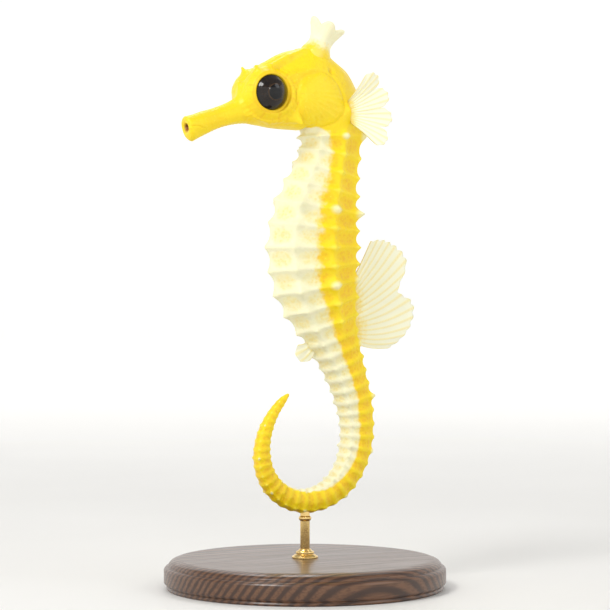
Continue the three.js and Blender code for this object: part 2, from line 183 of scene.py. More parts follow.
@dataclass
class Body:
    """The spine, its cross-sections and its bony rings.

    Attributes:
        shoulder: Where the first ring starts. All places are measured along the spine from the mouth.
        vent: Where the tail starts.
        tip: The end of the tail.
        trunk_rings: Bony rings of the trunk.
        tail_rings: Bony rings of the tail.
        first_tail_ring: The first tail ring's length, and each next one is shorter.
        tail_drift: How far the tip leans to the animal's left.
        rod_depth: How far the stand's rod reaches into the tail.
        step: The spacing of the points that the spine is added up from.
        spine: Those points.
        rest_at: Where the spine is lowest, which is where the rod stands.
    """

    shoulder: float = 36.5
    vent: float = 77.5
    tip: float = 148.5
    trunk_rings: int = 11
    tail_rings: int = 36
    first_tail_ring: float = 2.85
    tail_drift: float = 3.0
    rod_depth: float = 1.7
    step: float = 0.25
    spine: Array = field(init=False)
    rest_at: float = field(init=False)

    def __post_init__(self) -> None:
        """Adds up the spine from its heading and sets its lowest place on the rod."""
        middles = np.arange(self.step / 2, self.tip + self.step, self.step)
        turned = np.radians(self.outline(middles)["heading"])
        steps = self.step * np.stack([np.cos(turned), np.zeros_like(turned), np.sin(turned)], axis=1)
        spine = np.vstack([np.zeros(3), np.cumsum(steps, axis=0)])
        lowest = int(np.argmin(spine[:, 2]))
        self.rest_at = lowest * self.step
        rod_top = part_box("stand_rod")[1].z / MM - self.rod_depth
        rest = np.array([0.0, 0.0, rod_top + float(self.outline(self.rest_at)["back"])])
        self.spine = spine + rest - spine[lowest]

    @staticmethod
    def outline(at: Array | float) -> dict[str, Array]:
        """The outline at places along the spine, on a smooth curve through the stations.

        Args:
            at: Places along the spine.

        Returns:
            The value of each of a Station's fields there.
        """
        knots = np.array([station.at for station in OUTLINE])
        at = np.clip(np.asarray(at, float), knots[0], knots[-1])
        right = np.clip(np.searchsorted(knots, at, side="right"), 1, len(knots) - 1)
        left = right - 1
        share = (at - knots[left]) / (knots[right] - knots[left])
        result = {}
        for name in ("heading", "back", "belly", "half", "pear"):
            values = np.array([getattr(station, name) for station in OUTLINE], float)
            slopes = np.empty_like(values)
            slopes[1:-1] = (values[2:] - values[:-2]) / (knots[2:] - knots[:-2])
            slopes[0] = 1.5 * (values[1] - values[0]) / (knots[1] - knots[0]) - slopes[1] / 2
            slopes[-1] = 1.5 * (values[-1] - values[-2]) / (knots[-1] - knots[-2]) - slopes[-2] / 2
            length = knots[right] - knots[left]
            result[name] = (
                values[left] * (1 + 2 * share) * (1 - share) ** 2
                + values[right] * share**2 * (3 - 2 * share)
                + slopes[left] * length * share * (1 - share) ** 2
                - slopes[right] * length * share**2 * (1 - share)
            )
        return result

    def axes(self, at: Array | float) -> tuple[Array, Array, Array]:
        """The spine's places, with the directions along it and up to the back.

        Args:
            at: Places along the spine.

        Returns:
            The points, the directions along the spine and the directions to the back.
        """
        at = np.asarray(at, float)
        marks = np.arange(len(self.spine)) * self.step
        inside = np.clip(at, 0.0, marks[-1])
        place = np.stack([np.interp(inside, marks, self.spine[:, k]) for k in range(3)], axis=-1)
        place[..., 1] = -self.tail_drift * smoothstep(at, self.rest_at, self.tip)
        turned = np.radians(self.outline(at)["heading"])
        level = np.zeros_like(turned)
        along = np.stack([np.cos(turned), level, np.sin(turned)], axis=-1)
        up = np.stack([-np.sin(turned), level, np.cos(turned)], axis=-1)
        return place + (at - inside)[..., None] * along, along, up

    def point(self, at: float, up: float, left: float) -> Array:
        """A point given by its distance along the spine, then towards the back and to the left."""
        place, _, rise = self.axes(at)
        return place + up * rise - np.array([0.0, left, 0.0])

    def section(self, at: Array, turn: Array) -> tuple[Array, Array]:
        """The plain cross-section as height above the spine and distance to the left.

        Args:
            at: Places along the spine.
            turn: Angles from the back's midline towards the left, in radians.

        Returns:
            The heights and the distances to the left.
        """
        shape = self.outline(at)
        cosine = np.cos(turn)
        height = cosine * np.where(cosine > 0, shape["back"], shape["belly"])
        return height, np.sin(turn) * shape["half"] * (1 - shape["pear"] * cosine)

    def ring_at(self, at: Array | float) -> Array:
        """The ring numbers of places along the spine.

        Args:
            at: The places.

        Returns:
            The rings, counted from the shoulder, with each one's crest half way to the next number.
        """
        at = np.asarray(at, float)
        trunk = (at - self.shoulder) * self.trunk_rings / (self.vent - self.shoulder)
        shortening = self._shortening()
        left = np.clip(at - self.vent, 0.0, None)
        root = np.sqrt(np.clip(self.first_tail_ring**2 - 2 * shortening * left, 0.0, None))
        return np.where(at < self.vent, trunk, self.trunk_rings + (self.first_tail_ring - root) / shortening)

    def at_ring(self, ring: Array | float) -> Array:
        """The places along the spine where rings start.

        Args:
            ring: The rings' numbers.

        Returns:
            The places.
        """
        ring = np.asarray(ring, float)
        trunk = self.shoulder + ring * (self.vent - self.shoulder) / self.trunk_rings
        tail = np.clip(ring - self.trunk_rings, 0.0, None)
        return np.where(
            ring <= self.trunk_rings,
            trunk,
            self.vent + tail * self.first_tail_ring - self._shortening() * tail**2 / 2,
        )

    def _shortening(self) -> float:
        """How much shorter each tail ring is than the one before it."""
        last = 2 * (self.tip - self.vent) / self.tail_rings - self.first_tail_ring
        return (self.first_tail_ring - last) / self.tail_rings


# ---- relief on the body


class Ridge(Enum):
    """The long ridges of the bony rings, as their angle from the back's midline in degrees."""

    SUPERIOR = 45.0
    LATERAL = 90.0
    INFERIOR = 135.0
    KEEL = 180.0


@dataclass(frozen=True)
class RingRelief:
    """The bony rings' relief, with heights as shares of the body's half width.

    Attributes:
        crest: Height of the hoop round the middle of each ring.
        ridge: Height of the long ridges.
        ridge_width: Their half width, in degrees.
        edge_width: The half width of the sharper line along them, in degrees times the body's half width.
        knob: Height of the blunt knob where a ridge crosses a crest.
        large_knob: Height of the larger knobs.
        large_every: Rings from one large knob to the next.
        showy_rings: Rings whose two knobs along the back stand out further.
        showy: How many times as high those are.
        knob_radius: A knob's radius as a share of the half width, for small and large ones.
        hollow: Depth of the panels between crests and ridges.
        fold: Height of the soft folds across the trunk's panels.
        folds: How many of them there are to a ring.
        variety: How much the knobs' heights differ, as a share.
    """

    crest: float = 0.065
    ridge: float = 0.065
    ridge_width: float = 11.0
    edge_width: float = 26.0
    knob: float = 0.09
    large_knob: float = 0.16
    large_every: int = 4
    showy_rings: tuple[int, ...] = (4, 16)
    showy: float = 1.7
    knob_radius: Pair = (0.13, 0.17)
    hollow: float = 0.035
    fold: float = 0.005
    folds: int = 3
    variety: float = 0.2

    def fields(self, body: Body, at: Array, degrees: Array) -> dict[str, Array]:
        """The relief at places on the body.

        Args:
            body: The body that wears it.
            at: Places along the spine.
            degrees: Angles from the back's midline, from -180 to 180.

        Returns:
            "height" in millimetres, "level" from 0 in the hollows to 1 on the crests, and "tip", which is 1
            on the large knobs.
        """
        ring = body.ring_at(at)
        half = body.outline(at)["half"]
        number = np.floor(ring)
        away = ring - number - 0.5
        pitch = body.at_ring(number + 1) - body.at_ring(number)
        on_rings = smoothstep(at, body.shoulder, body.shoulder + 1.5)
        on_rings = on_rings * smoothstep(at, body.tip, body.tip - 2.5)
        sharp = np.exp(-((np.abs(away) * pitch / 0.42) ** 1.4))
        crest = 0.55 * (1 - np.abs(2 * away) ** 1.3) ** 2 + 0.45 * sharp
        folded = np.abs(degrees)
        large = np.mod(number, self.large_every) == 0
        radius = half * np.where(large, self.knob_radius[1], self.knob_radius[0])
        ridges = np.zeros_like(at)
        knobs = np.zeros_like(at)
        tips = np.zeros_like(at)
        for ridge in Ridge:
            lasts = ridge in (Ridge.SUPERIOR, Ridge.INFERIOR)
            fade = smoothstep(ring, body.trunk_rings + 0.6, body.trunk_rings - 0.6)
            present = np.ones_like(at) if lasts else fade
            angle = folded - ridge.value
            line = 0.6 * np.exp(-((np.abs(angle) / self.ridge_width) ** 1.4)) * present
            line = line + 0.4 * np.exp(-((np.abs(angle) * half / self.edge_width) ** 1.4)) * present
            ridges = np.maximum(ridges, line)
            across = np.radians(angle) * half * 1.15
            distance = np.hypot(across, away * pitch)
            cone = np.exp(-((distance / radius) ** 1.7)) * present
            showy = (ridge is Ridge.SUPERIOR) & np.isin(number, self.showy_rings)
            varied = 1 + self.variety * np.sin(1.9 * number + 0.05 * ridge.value)
            rise = np.where(large, self.large_knob, self.knob) * np.where(showy, self.showy, 1.0)
            knobs = knobs + varied * cone * rise
            tips = np.maximum(tips, np.where(large, cone, 0.25 * cone))
        panels = (1 - crest) * (1 - ridges)
        folded_panels = self.fold * np.cos(2 * np.pi * self.folds * away) * panels
        folded_panels = folded_panels * smoothstep(ring, body.trunk_rings + 1, body.trunk_rings - 1)
        height = self.crest * crest + self.ridge * ridges + knobs - self.hollow * panels + folded_panels
        level = np.clip(0.55 * crest + 0.45 * ridges + 2.5 * knobs, 0.0, 1.0)
        return {
            "height": height * half * on_rings,
            "level": 0.45 + (level - 0.45) * on_rings,
            "tip": tips * on_rings,
        }


@dataclass(frozen=True)
class Rod3:
    """A tapered rod of the head's relief, mirrored to both sides.

    The head's own axes run back from the mouth along the snout, up from it, and out to the side.

    Attributes:
        start: Its first end in those axes.
        end: Its other end.
        radii: Its radius at each end.
        blend: How softly it joins the head.
    """

    start: Triple
    end: Triple
    radii: Pair
    blend: float = 0.7


@dataclass(frozen=True)
class HeadForm:
    """The head's solid features beyond its plain outline, in the head's own axes.

    Attributes:
        eye: The eye's centre: back from the mouth, up, and out to the side.
        eye_radius: The eyeball's radius.
        eye_depth: Its radius from front to back, as it is flattened.
        turret_radius: The radius of the eye's turret where it is widest.
        turret_widest: How far out from the middle that is.
        turret_taper: How much narrower it gets for each millimetre further out.
        turret_tuck: How fast it narrows inwards, under the brow and the nose.
        turret_rim: How far out its rim is.
        turret_blend: How softly it joins the head.
        rods: Brow ridges and blunt spines.
    """

    eye: Triple = (17.4, 1.8, 3.4)
    eye_radius: float = 3.73
    eye_depth: float = 2.85
    turret_radius: float = 4.72
    turret_widest: float = 2.5
    turret_taper: float = 0.2
    turret_tuck: float = 0.14
    turret_rim: float = 4.62
    turret_blend: float = 1.7
    rods: tuple[Rod3, ...] = (
        Rod3((13.7, 3.6, 0.0), (13.4, 5.0, 0.0), (0.85, 0.35), 0.9),  # nose spine
        Rod3((14.6, 4.4, 0.9), (16.6, 5.7, 2.3), (0.7, 0.85)),  # brow ridge, before the eye
        Rod3((16.6, 5.7, 2.3), (19.6, 6.2, 2.6), (0.85, 0.75)),  # brow ridge, over the eye
        Rod3((19.6, 6.2, 2.6), (24.0, 7.0, 2.2), (0.75, 0.55)),  # ridge of the temple
        Rod3((24.0, 7.0, 2.2), (28.4, 7.1, 1.4), (0.55, 0.6)),  # up to the crown
        Rod3((16.9, 5.9, 2.5), (16.5, 7.3, 2.9), (0.85, 0.32), 0.6),  # spine over the eye
        Rod3((21.3, -4.6, 4.3), (21.4, -5.7, 5.4), (0.9, 0.35), 0.8),  # cheek spine
        Rod3((12.2, -0.9, 2.05), (16.0, -3.3, 2.9), (0.4, 0.6), 0.9),  # ridge below the eye, from the snout
        Rod3((16.0, -3.3, 2.9), (21.3, -4.6, 4.2), (0.6, 0.65), 0.9),  # the same, to the cheek spine
        Rod3((21.2, 3.7, 3.6), (27.2, 3.3, 3.9), (0.6, 0.45), 0.9),  # ridge behind the eye
        Rod3((29.0, 2.9, 0.0), (30.6, 4.55, 0.0), (3.9, 2.9), 1.8),  # the crown's foot
    )

    def swell(self, centre: Array, direction: Array, reach: Array) -> Array:
        """How far out the surface lies along rays from the spine, with the features blended in.

        Args:
            centre: Where each ray starts, in the head's axes.
            direction: Its unit direction.
            reach: How far out the plain outline lies.

        Returns:
            How far out the finished surface lies.
        """
        low = 0.6 * reach
        high = reach + 6.0
        for _ in range(22):
            middle = (low + high) / 2
            outside = self._field(centre + middle[..., None] * direction, middle - reach) > 0
            high = np.where(outside, middle, high)
            low = np.where(outside, low, middle)
        return (low + high) / 2

    def _field(self, points: Array, plain: Array) -> Array:
        """The distance to the head's surface.

        Args:
            points: Places in the head's axes.
            plain: Their distance to the plain outline.

        Returns:
            Their distance to the finished surface.
        """
        mirrored = points.copy()
        mirrored[..., 2] = np.abs(points[..., 2])
        round_eye = np.hypot(mirrored[..., 0] - self.eye[0], mirrored[..., 1] - self.eye[1])
        out = mirrored[..., 2] - self.turret_widest
        radius = self.turret_radius - np.where(out > 0, self.turret_taper * out, self.turret_tuck * out * out)
        wall = 0.95 * (round_eye - radius)
        turret = -smooth_min(-wall, self.turret_rim - mirrored[..., 2], 0.7)
        distance = smooth_min(plain, turret, self.turret_blend)
        for rod in self.rods:
            spine = capsule(mirrored, np.array(rod.start), np.array(rod.end), rod.radii)
            distance = smooth_min(distance, spine, rod.blend)
        return distance


@dataclass(frozen=True)
class HeadRelief:
    """Shallow relief on the head, as heights in millimetres in the head's own axes.

    Attributes:
        gill_centre: Middle of the gill cover: back from the mouth and up.
        gill_size: Its half length and half height.
        gill_rise: How far it stands out.
        hinge: Where its fine ribs spread from.
        ribs: How many there are to a full turn.
        rib_height: Their height.
        edge_depth: Depth of the groove round it.
        eye: The eye's centre: back from the mouth and up.
        creases: Creases round the eye's turret, as their radius, their width and their depth.
        wrinkles: How many fine wrinkles spread from the turret to a full turn.
        wrinkle_height: Their height.
        cheek: The crease before the cheek, as its middle back and up, its radius and its depth.
        bridge: Height of the ridge along the top of the snout.
        rails: Height of the ridges along its sides.
        folds: The folds round it, as their spacing and their height.
        nape: Height of the keel down the nape.
        pores: Nostrils and gill opening, as their place back and up, their size and their depth.
    """

    gill_centre: Pair = (27.2, -2.6)
    gill_size: Pair = (5.1, 5.2)
    gill_rise: float = 0.42
    hinge: Pair = (22.4, 0.2)
    ribs: int = 46
    rib_height: float = 0.07
    edge_depth: float = 0.2
    eye: Pair = (17.4, 1.8)
    creases: tuple[Triple, ...] = ((5.3, 0.2, 0.16), (5.95, 0.16, 0.07))
    wrinkles: int = 38
    wrinkle_height: float = 0.045
    cheek: tuple[float, float, float, float] = (17.2, 2.0, 6.1, 0.14)
    bridge: float = 0.14
    rails: float = 0.08
    folds: Pair = (0.8, 0.03)
    nape: float = 0.55
    pores: tuple[tuple[float, float, float, float], ...] = (
        (12.9, 1.9, 0.26, 0.3),  # front nostril
        (13.5, 2.9, 0.24, 0.28),  # rear nostril
        (32.0, 1.9, 0.5, 0.55),  # gill opening
    )

    def height(self, back: Array, up: Array, side: Array, at: Array, degrees: Array) -> Array:
        """The relief's height at places on the head.

        Args:
            back: Distances back from the mouth.
            up: Heights above the snout's axis.
            side: Distances from the middle plane, both ways positive.
            at: The same places along the spine.
            degrees: Their angles from the back's midline.

        Returns:
            The heights, outwards along the surface's normal.
        """
        on_side = smoothstep(side, 1.8, 3.4)
        across = (back - self.gill_centre[0]) / self.gill_size[0]
        rise = (up - self.gill_centre[1]) / self.gill_size[1]
        radius = (np.abs(across) ** 2.3 + np.abs(rise) ** 2.3) ** (1 / 2.3)
        plate = self.gill_rise * np.clip(1 - radius**3, 0.0, None) ** 0.8
        groove = -self.edge_depth * hump(radius - 1.03, 0.05)
        turn = np.arctan2(up - self.hinge[1], back - self.hinge[0])
        spread = smoothstep(np.hypot(back - self.hinge[0], up - self.hinge[1]), 1.0, 3.2)
        ribs = self.rib_height * np.cos(self.ribs * turn) * spread * smoothstep(radius, 0.98, 0.86)
        gill = (plate + groove + ribs) * on_side
        from_eye = np.hypot(back - self.eye[0], up - self.eye[1])
        eye_turn = np.arctan2(up - self.eye[1], back - self.eye[0])
        near_eye = smoothstep(side, 1.5, 2.6)
        creases = sum(depth * hump(from_eye - radius, width) for radius, width, depth in self.creases)
        swing = self.wrinkles * eye_turn + 1.3 * np.sin(3 * eye_turn) + 0.9 * from_eye
        band = smoothstep(from_eye, 4.6, 5.0) * smoothstep(from_eye, 7.0, 5.7)
        socket = (self.wrinkle_height * np.cos(swing) * band - creases) * near_eye
        x, z, size, depth = self.cheek
        front_edge = hump(np.hypot(back - x, up - z) - size - 0.25 * np.abs(up + 2), 0.22)
        cheek = -depth * front_edge * smoothstep(up, 1.0, -1.0) * on_side * smoothstep(back, 16.0, 18.0)
        snout = smoothstep(at, 1.5, 4.0) * smoothstep(at, 15.0, 11.0)
        bridge = self.bridge * hump(degrees, 13.0) * snout
        rails = self.rails * (hump(np.abs(degrees) - 62, 9.0) + hump(np.abs(degrees) - 138, 10.0)) * snout
        pitch, height = self.folds
        folds = height * np.cos(2 * np.pi * at / pitch + 2.0 * np.sin(np.radians(degrees)))
        folds = folds * snout * smoothstep(np.abs(degrees), 20.0, 60.0)
        nape = self.nape * hump(degrees, 8.0) * smoothstep(at, 29.5, 31.5) * smoothstep(at, 38.5, 36.0)
        pores = sum(depth * hump(np.hypot(back - x, up - z), size) for x, z, size, depth in self.pores)
        pores = pores * smoothstep(side, 0.8, 1.6)
        return gill + socket + cheek + bridge + rails + folds + nape - pores


def jaw_line(at: Array, up: Array) -> Array:
    """The groove that runs back and down from the corner of the mouth, as a height in millimetres."""
    share = np.clip(at / 2.9, 0.0, 1.0)
    return -0.17 * hump(up - (0.35 - 1.5 * share**1.4), 0.16) * smoothstep(at, 3.3, 2.3)


# ---- meshes


def rolled_grid(mesh: BMesh, columns: int, loops: int) -> Array:
    """A grid whose first and last columns are welded, so that it closes into an open tube once it is placed.

    Args:
        mesh: The mesh to make it in.
        columns: Vertices round the tube.
        loops: Vertices along it.

    Returns:
        Its vertices, by loop and column.
    """
    made = bmesh.ops.create_grid(mesh, x_segments=columns, y_segments=loops - 1, size=1.0)["verts"]
    places = np.round([vert.co[:] for vert in made], 6)
    order = np.lexsort((places[:, 0], places[:, 1]))
    verts = np.array(made, dtype=object)[order].reshape(loops, columns + 1)
    bmesh.ops.weld_verts(mesh, targetmap=dict(zip(verts[:, -1], verts[:, 0])))
    return verts[:, :-1]


def smooth_object(mesh: BMesh, name: str, finish: Material) -> Object:
    """Turns a bmesh into a smooth-shaded object in the scene.

    Args:
        mesh: The mesh, which is freed.
        name: The object's name.
        finish: Its material.

    Returns:
        The object.
    """
    for face in mesh.faces:
        face.smooth = True
    data = bpy.data.meshes.new(name)
    mesh.to_mesh(data)
    mesh.free()
    data.materials.append(finish)
    made = bpy.data.objects.new(name, data)
    bpy.context.scene.collection.objects.link(made)
    return made


def finished(mesh: BMesh, name: str, finish: Material, slot: str, *nodes: str) -> Object:
    """Turns a bmesh into a piece that rides on the body.

    Args:
        mesh: The mesh, which is freed.
        name: The piece's name.
        finish: Its material.
        slot: The record's material slot that it belongs to; not used.
        *nodes: The frame's nodes that it replaces.

    Returns:
        The piece's object.
    """
    piece = smooth_object(mesh, name, finish)
    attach(piece, CAD_BODY)
    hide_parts(*nodes)
    return piece


@dataclass(frozen=True)
class LipLoop:
    """One loop of the mouth.

    Attributes:
        forward: How far in front of the snout's end it lies.
        wide: Its width as a share of the snout's.
        high: Its height as a share of the snout's.
    """

    forward: float
    wide: float
    high: float


@dataclass
class Skin:
    """The one skin of the head, trunk and tail, from the inside of the mouth to the tip of the tail.

    Attributes:
        body: The body that it covers.
        form: The head's solid features.
        relief: The bony rings.
        head_relief: The head's shallow relief.
        columns: Vertices round the head and trunk.
        tail_columns: Vertices round the tail.
        mouth_loops: Loops inside the mouth and over the lips.
        head_parts: Where the lips' part and the snout's part of the head end.
        head_loops: Loops on the lips, on the snout and on the rest of the head.
        snout_fade: Where the plain snout passes into the head's own form.
        neck_fade: Where that passes into the plain neck.
        ring_loops: Loops on each trunk ring.
        tail_ring_loops: Loops on each tail ring.
        throat_share: How much of the bend's radius the throat may fill.
        grain: Height of the skin's own unevenness, in millimetres.
        tip_length: The length over which the tail's tip is rounded to a point.
        lip_slant: How far the lower jaw stands out in front of the upper one, for each millimetre of height.
        lip_rise: How far the mouth's opening lies above the snout's axis.
        dorsal_mount: The first and last rings of the dorsal fin's fleshy base, and its height.
        pectoral_mount: The pectoral fins' bases: their place, their angle in degrees and their height.
        belly_edge: The cream belly's edge: places along the spine and angles from the back's midline.
        lips: The mouth's profile, from its depth to the outside of the lips.
    """

    body: Body
    form: HeadForm = HeadForm()
    relief: RingRelief = RingRelief()
    head_relief: HeadRelief = HeadRelief()
    columns: int = 192
    tail_columns: int = 96
    mouth_loops: int = 26
    head_parts: Pair = (3.6, 12.0)
    head_loops: tuple[int, int, int] = (30, 30, 130)
    snout_fade: Pair = (9.0, 11.0)
    neck_fade: Pair = (35.5, 39.5)
    ring_loops: int = 14
    tail_ring_loops: int = 7
    throat_share: float = 0.93
    grain: float = 0.035
    tip_length: float = 2.6
    lip_slant: float = 0.13
    lip_rise: float = 0.3
    dorsal_mount: Triple = (9.3, 12.3, 0.55)
    pectoral_mount: Triple = (34.2, 74.0, 0.75)
    belly_edge: tuple[Pair, ...] = (
        (30.0, 190.0), (34.5, 152.0), (37.0, 124.0), (41.0, 112.0), (52.0, 108.0), (61.0, 107.0),
        (70.0, 109.0), (80.0, 106.0), (92.0, 103.0), (104.0, 108.0), (114.0, 124.0), (124.0, 150.0),
        (131.0, 190.0),
    )
    lips: tuple[LipLoop, ...] = (
        LipLoop(-2.4, 0.18, 0.09),
        LipLoop(-1.1, 0.27, 0.15),
        LipLoop(-0.2, 0.35, 0.20),
        LipLoop(0.22, 0.43, 0.28),
        LipLoop(0.50, 0.56, 0.45),
        LipLoop(0.56, 0.71, 0.66),
        LipLoop(0.44, 0.86, 0.84),
        LipLoop(0.22, 0.95, 0.945),
    )

    def places_along(self) -> tuple[Array, Array]:
        """Where the skin's loops lie along the spine.

        Returns:
            The places for the head and trunk, and those for the tail.
        """
        ends = (0.0, *self.head_parts, self.body.shoulder)
        parts = zip(ends, ends[1:], self.head_loops)
        head = [np.linspace(start, end, loops, endpoint=False) for start, end, loops in parts]
        rings = np.arange(self.body.trunk_rings * self.ring_loops + 1) / self.ring_loops
        trunk = self.body.at_ring(rings)
        tail_rings = np.arange(1, self.body.tail_rings * self.tail_ring_loops) / self.tail_ring_loops
        tail = self.body.at_ring(self.body.trunk_rings + tail_rings)
        return np.concatenate([*head, trunk]), tail

    def surface(self, at: Array, turn: Array) -> dict[str, Array]:
        """The finished surface over a grid of places and angles.

        Args:
            at: Places along the spine, one row to a loop, over the whole grid.
            turn: Angles from the back's midline towards the left, in radians, over the whole grid.

        Returns:
            "points" in millimetres, and the fields that the finish reads.
        """
        body = self.body
        place, _, up = body.axes(at)
        left = np.broadcast_to(LEFT, place.shape)
        height, side = body.section(at, turn)
        degrees = signed_degrees(turn)
        height = np.maximum(height, self._throat(at, height))
        offset = height[..., None] * up + side[..., None] * left
        reach = np.linalg.norm(offset, axis=-1)
        direction = unit(offset)
        to_tip = np.clip((at - body.tip) / self.tip_length + 1, 0.0, 1.0)
        reach = reach * (1 - to_tip**2) ** 0.6
        in_head = at[:, 0] < self.neck_fade[1]
        rays = self.head_axes(place[in_head]), self.head_turned(direction[in_head])
        grown = self.form.swell(*rays, reach[in_head])
        fade = smoothstep(at[in_head], *self.snout_fade) * (1 - smoothstep(at[in_head], *self.neck_fade))
        reach[in_head] += (grown - reach[in_head]) * fade
        points = place + reach[..., None] * direction
        normals = self._normals(points, direction)
        rings = self.relief.fields(body, at, degrees)
        head = self.head_axes(points)
        shallow = self.head_relief.height(head[..., 0], head[..., 1], np.abs(head[..., 2]), at, degrees)
        shallow = np.where(at < self.neck_fade[1], shallow, 0.0) + jaw_line(at, height)
        shallow += self._fin_mounts(at, degrees) + self._grain(at, points)
        points = points + (rings["height"] + shallow)[..., None] * normals
        # The finish paints shade where the level is low and a highlight where it is high.
        level = np.where(at < body.shoulder, 0.5 + 0.9 * np.clip(shallow, -1.0, 0.25), rings["level"])
        return {
            "points": points,
            "level": np.clip(level, 0.0, 1.0),
            "tip": rings["tip"],
            "cream": self.cream_side(at, degrees),
            "at": at,
            "turn": degrees,
        }

    def _throat(self, at: Array, height: Array) -> Array:
        """Keeps the inside of the neck's bend from folding over.

        Args:
            at: Places along the spine.
            height: The outline's heights there.

        Returns:
            The lowest heights that are free of a fold, softly reached.
        """
        bend = np.radians(self.body.outline(at + 0.5)["heading"] - self.body.outline(at - 0.5)["heading"])
        limit = self.throat_share / np.maximum(-bend, 1e-3)
        return -limit * np.tanh(np.clip(-height / limit, 0.0, 8.0) ** 4) ** 0.25

    def _grain(self, at: Array, points: Array) -> Array:
        """The skin's own unevenness, which is less where the body is thin, as a height in millimetres."""
        thick = np.clip(self.body.outline(at)["half"] / 4.0, 0.0, 1.0) * smoothstep(at, 0.0, 2.0)
        return self.grain * thick * (0.6 * uneven(points, 1.7) + 0.5 * uneven(points, 0.85))

    def _fin_mounts(self, at: Array, degrees: Array) -> Array:
        """The fleshy bases that the fins stand on.

        Args:
            at: Places along the spine.
            degrees: Their angles from the back's midline.

        Returns:
            Their heights in millimetres.
        """
        first, last = self.body.at_ring(self.dorsal_mount[:2])
        along_back = smoothstep(at, first - 1, first + 1) * smoothstep(at, last + 1, last - 1)
        dorsal = self.dorsal_mount[2] * hump(degrees, 9.0) * along_back
        middle, angle, height = self.pectoral_mount
        across = (np.abs(degrees) - angle) / 17
        pectoral = height * np.exp(-(across**2) - ((at - middle) / 1.3) ** 2)
        return dorsal + pectoral

    @staticmethod
    def _normals(points: Array, outward: Array) -> Array:
        """The normals of a surface grid that closes on itself across its columns.

        Args:
            points: The grid's points, by row and column.
            outward: Directions on the side that the normals are to be on.

        Returns:
            The unit normals.
        """
        down = np.gradient(points, axis=0)
        across = np.roll(points, -1, axis=1) - np.roll(points, 1, axis=1)
        normals = unit(np.cross(down, across))
        return normals * np.sign(np.sum(normals * outward, axis=-1, keepdims=True))

    def head_axes(self, points: Array) -> Array:
        """Points in the head's own axes: back from the mouth, up, and to the left."""
        return self.head_turned(points - self.body.axes(0.0)[0])

    def head_turned(self, vectors: Array) -> Array:
        """Directions in the head's own axes."""
        _, along, up = self.body.axes(0.0)
        return np.stack([vectors @ along, vectors @ up, -vectors[..., 1]], axis=-1)

    def cream_side(self, at: Array, degrees: Array) -> Array:
        """How many degrees past the edge of the cream belly places are, negative on the yellow side."""
        return np.abs(degrees) - np.interp(at, *zip(*self.belly_edge))

    def mouth(self, turn: Array) -> Array:
        """The loops of the mouth and lips.

        Args:
            turn: Angles from the back's midline towards the left, in radians.

        Returns:
            Their points in millimetres, by loop from the inside out and by angle.
        """
        place, along, up = self.body.axes(0.0)
        height, side = self.body.section(np.zeros_like(turn), turn)
        marks = np.linspace(0, 1, len(self.lips))
        share = np.linspace(0, 1, self.mouth_loops, endpoint=False)[:, None] ** 0.8
        forward, wide, high = (
            np.interp(share, marks, [getattr(lip, name) for lip in self.lips])
            for name in ("forward", "wide", "high")
        )
        slant = (forward - self.lip_slant * height * (1 - share) ** 0.6)[..., None]
        lift = (height * high + self.lip_rise * (1 - share))[..., None]
        return place - slant * along + lift * up + (side * wide)[..., None] * LEFT

    def build(self, finish: Material) -> Object:
        """Builds the skin.

        Args:
            finish: Its material.

        Returns:
            The piece, which replaces the frame's nodes of flesh.
        """
        mesh = bmesh.new()
        front_at, tail_at = self.places_along()
        turn = 2 * np.pi * np.arange(self.columns) / self.columns
        tail_turn = 2 * np.pi * np.arange(self.tail_columns) / self.tail_columns
        for name in ("level", "tip", "cream", "at", "turn", "lid"):
            mesh.verts.layers.float.new(name)
        front = rolled_grid(mesh, self.columns, self.mouth_loops + len(front_at))
        tail = rolled_grid(mesh, self.tail_columns, len(tail_at))
        layers = dict(mesh.verts.layers.float.items())
        self._place(front[self.mouth_loops :], self.surface(*grid(front_at, turn)), layers)
        self._place(tail, self.surface(*grid(tail_at, tail_turn)), layers)
        depth, around = grid(np.linspace(-3.0, -0.05, self.mouth_loops), turn)
        inside = {
            "points": self.mouth(turn),
            # A low level, so the finish paints some shade inside the mouth.
            "level": np.full_like(depth, 0.3),
            "tip": np.zeros_like(depth),
            "cream": np.full_like(depth, -90.0),
            "at": depth,
            "turn": signed_degrees(around),
        }
        self._place(front[: self.mouth_loops], inside, layers)
        bmesh.ops.bridge_loops(mesh, edges=loop_edges(front[-1]) + loop_edges(tail[0]))
        for loop in (front[0], tail[-1]):
            middle = sum((vert.co for vert in loop), Vector()) / len(loop)
            bmesh.ops.pointmerge(mesh, verts=list(loop), merge_co=middle)
        for side in (-1, 1):
            EyeOpening(self, side).cut(mesh, layers["lid"])
        bmesh.ops.recalc_face_normals(mesh, faces=mesh.faces)
        self._unwrap(mesh, layers)
        tail_nodes = [f"tail_{part}" for part in range(1, 7)]
        return finished(mesh, "skin", finish, "skin", "snout", "head", "neck", "chest", "belly", *tail_nodes)

    @staticmethod
    def _place(verts: Array, surface: dict[str, Array], layers: dict[str, object]) -> None:
        """Moves a grid of vertices onto the surface and writes its fields to them.

        Args:
            verts: The vertices, by row and column.
            surface: The surface's "points" and its fields, each by row and column.
            layers: The mesh's vertex layers, by the fields' names.
        """
        points = surface["points"] * MM
        names = [name for name in layers if name in surface]
        for row in range(verts.shape[0]):
            for column in range(verts.shape[1]):
                vert = verts[row, column]
                vert.co = points[row, column]
                for name in names:
                    vert[layers[name]] = float(surface[name][row, column])

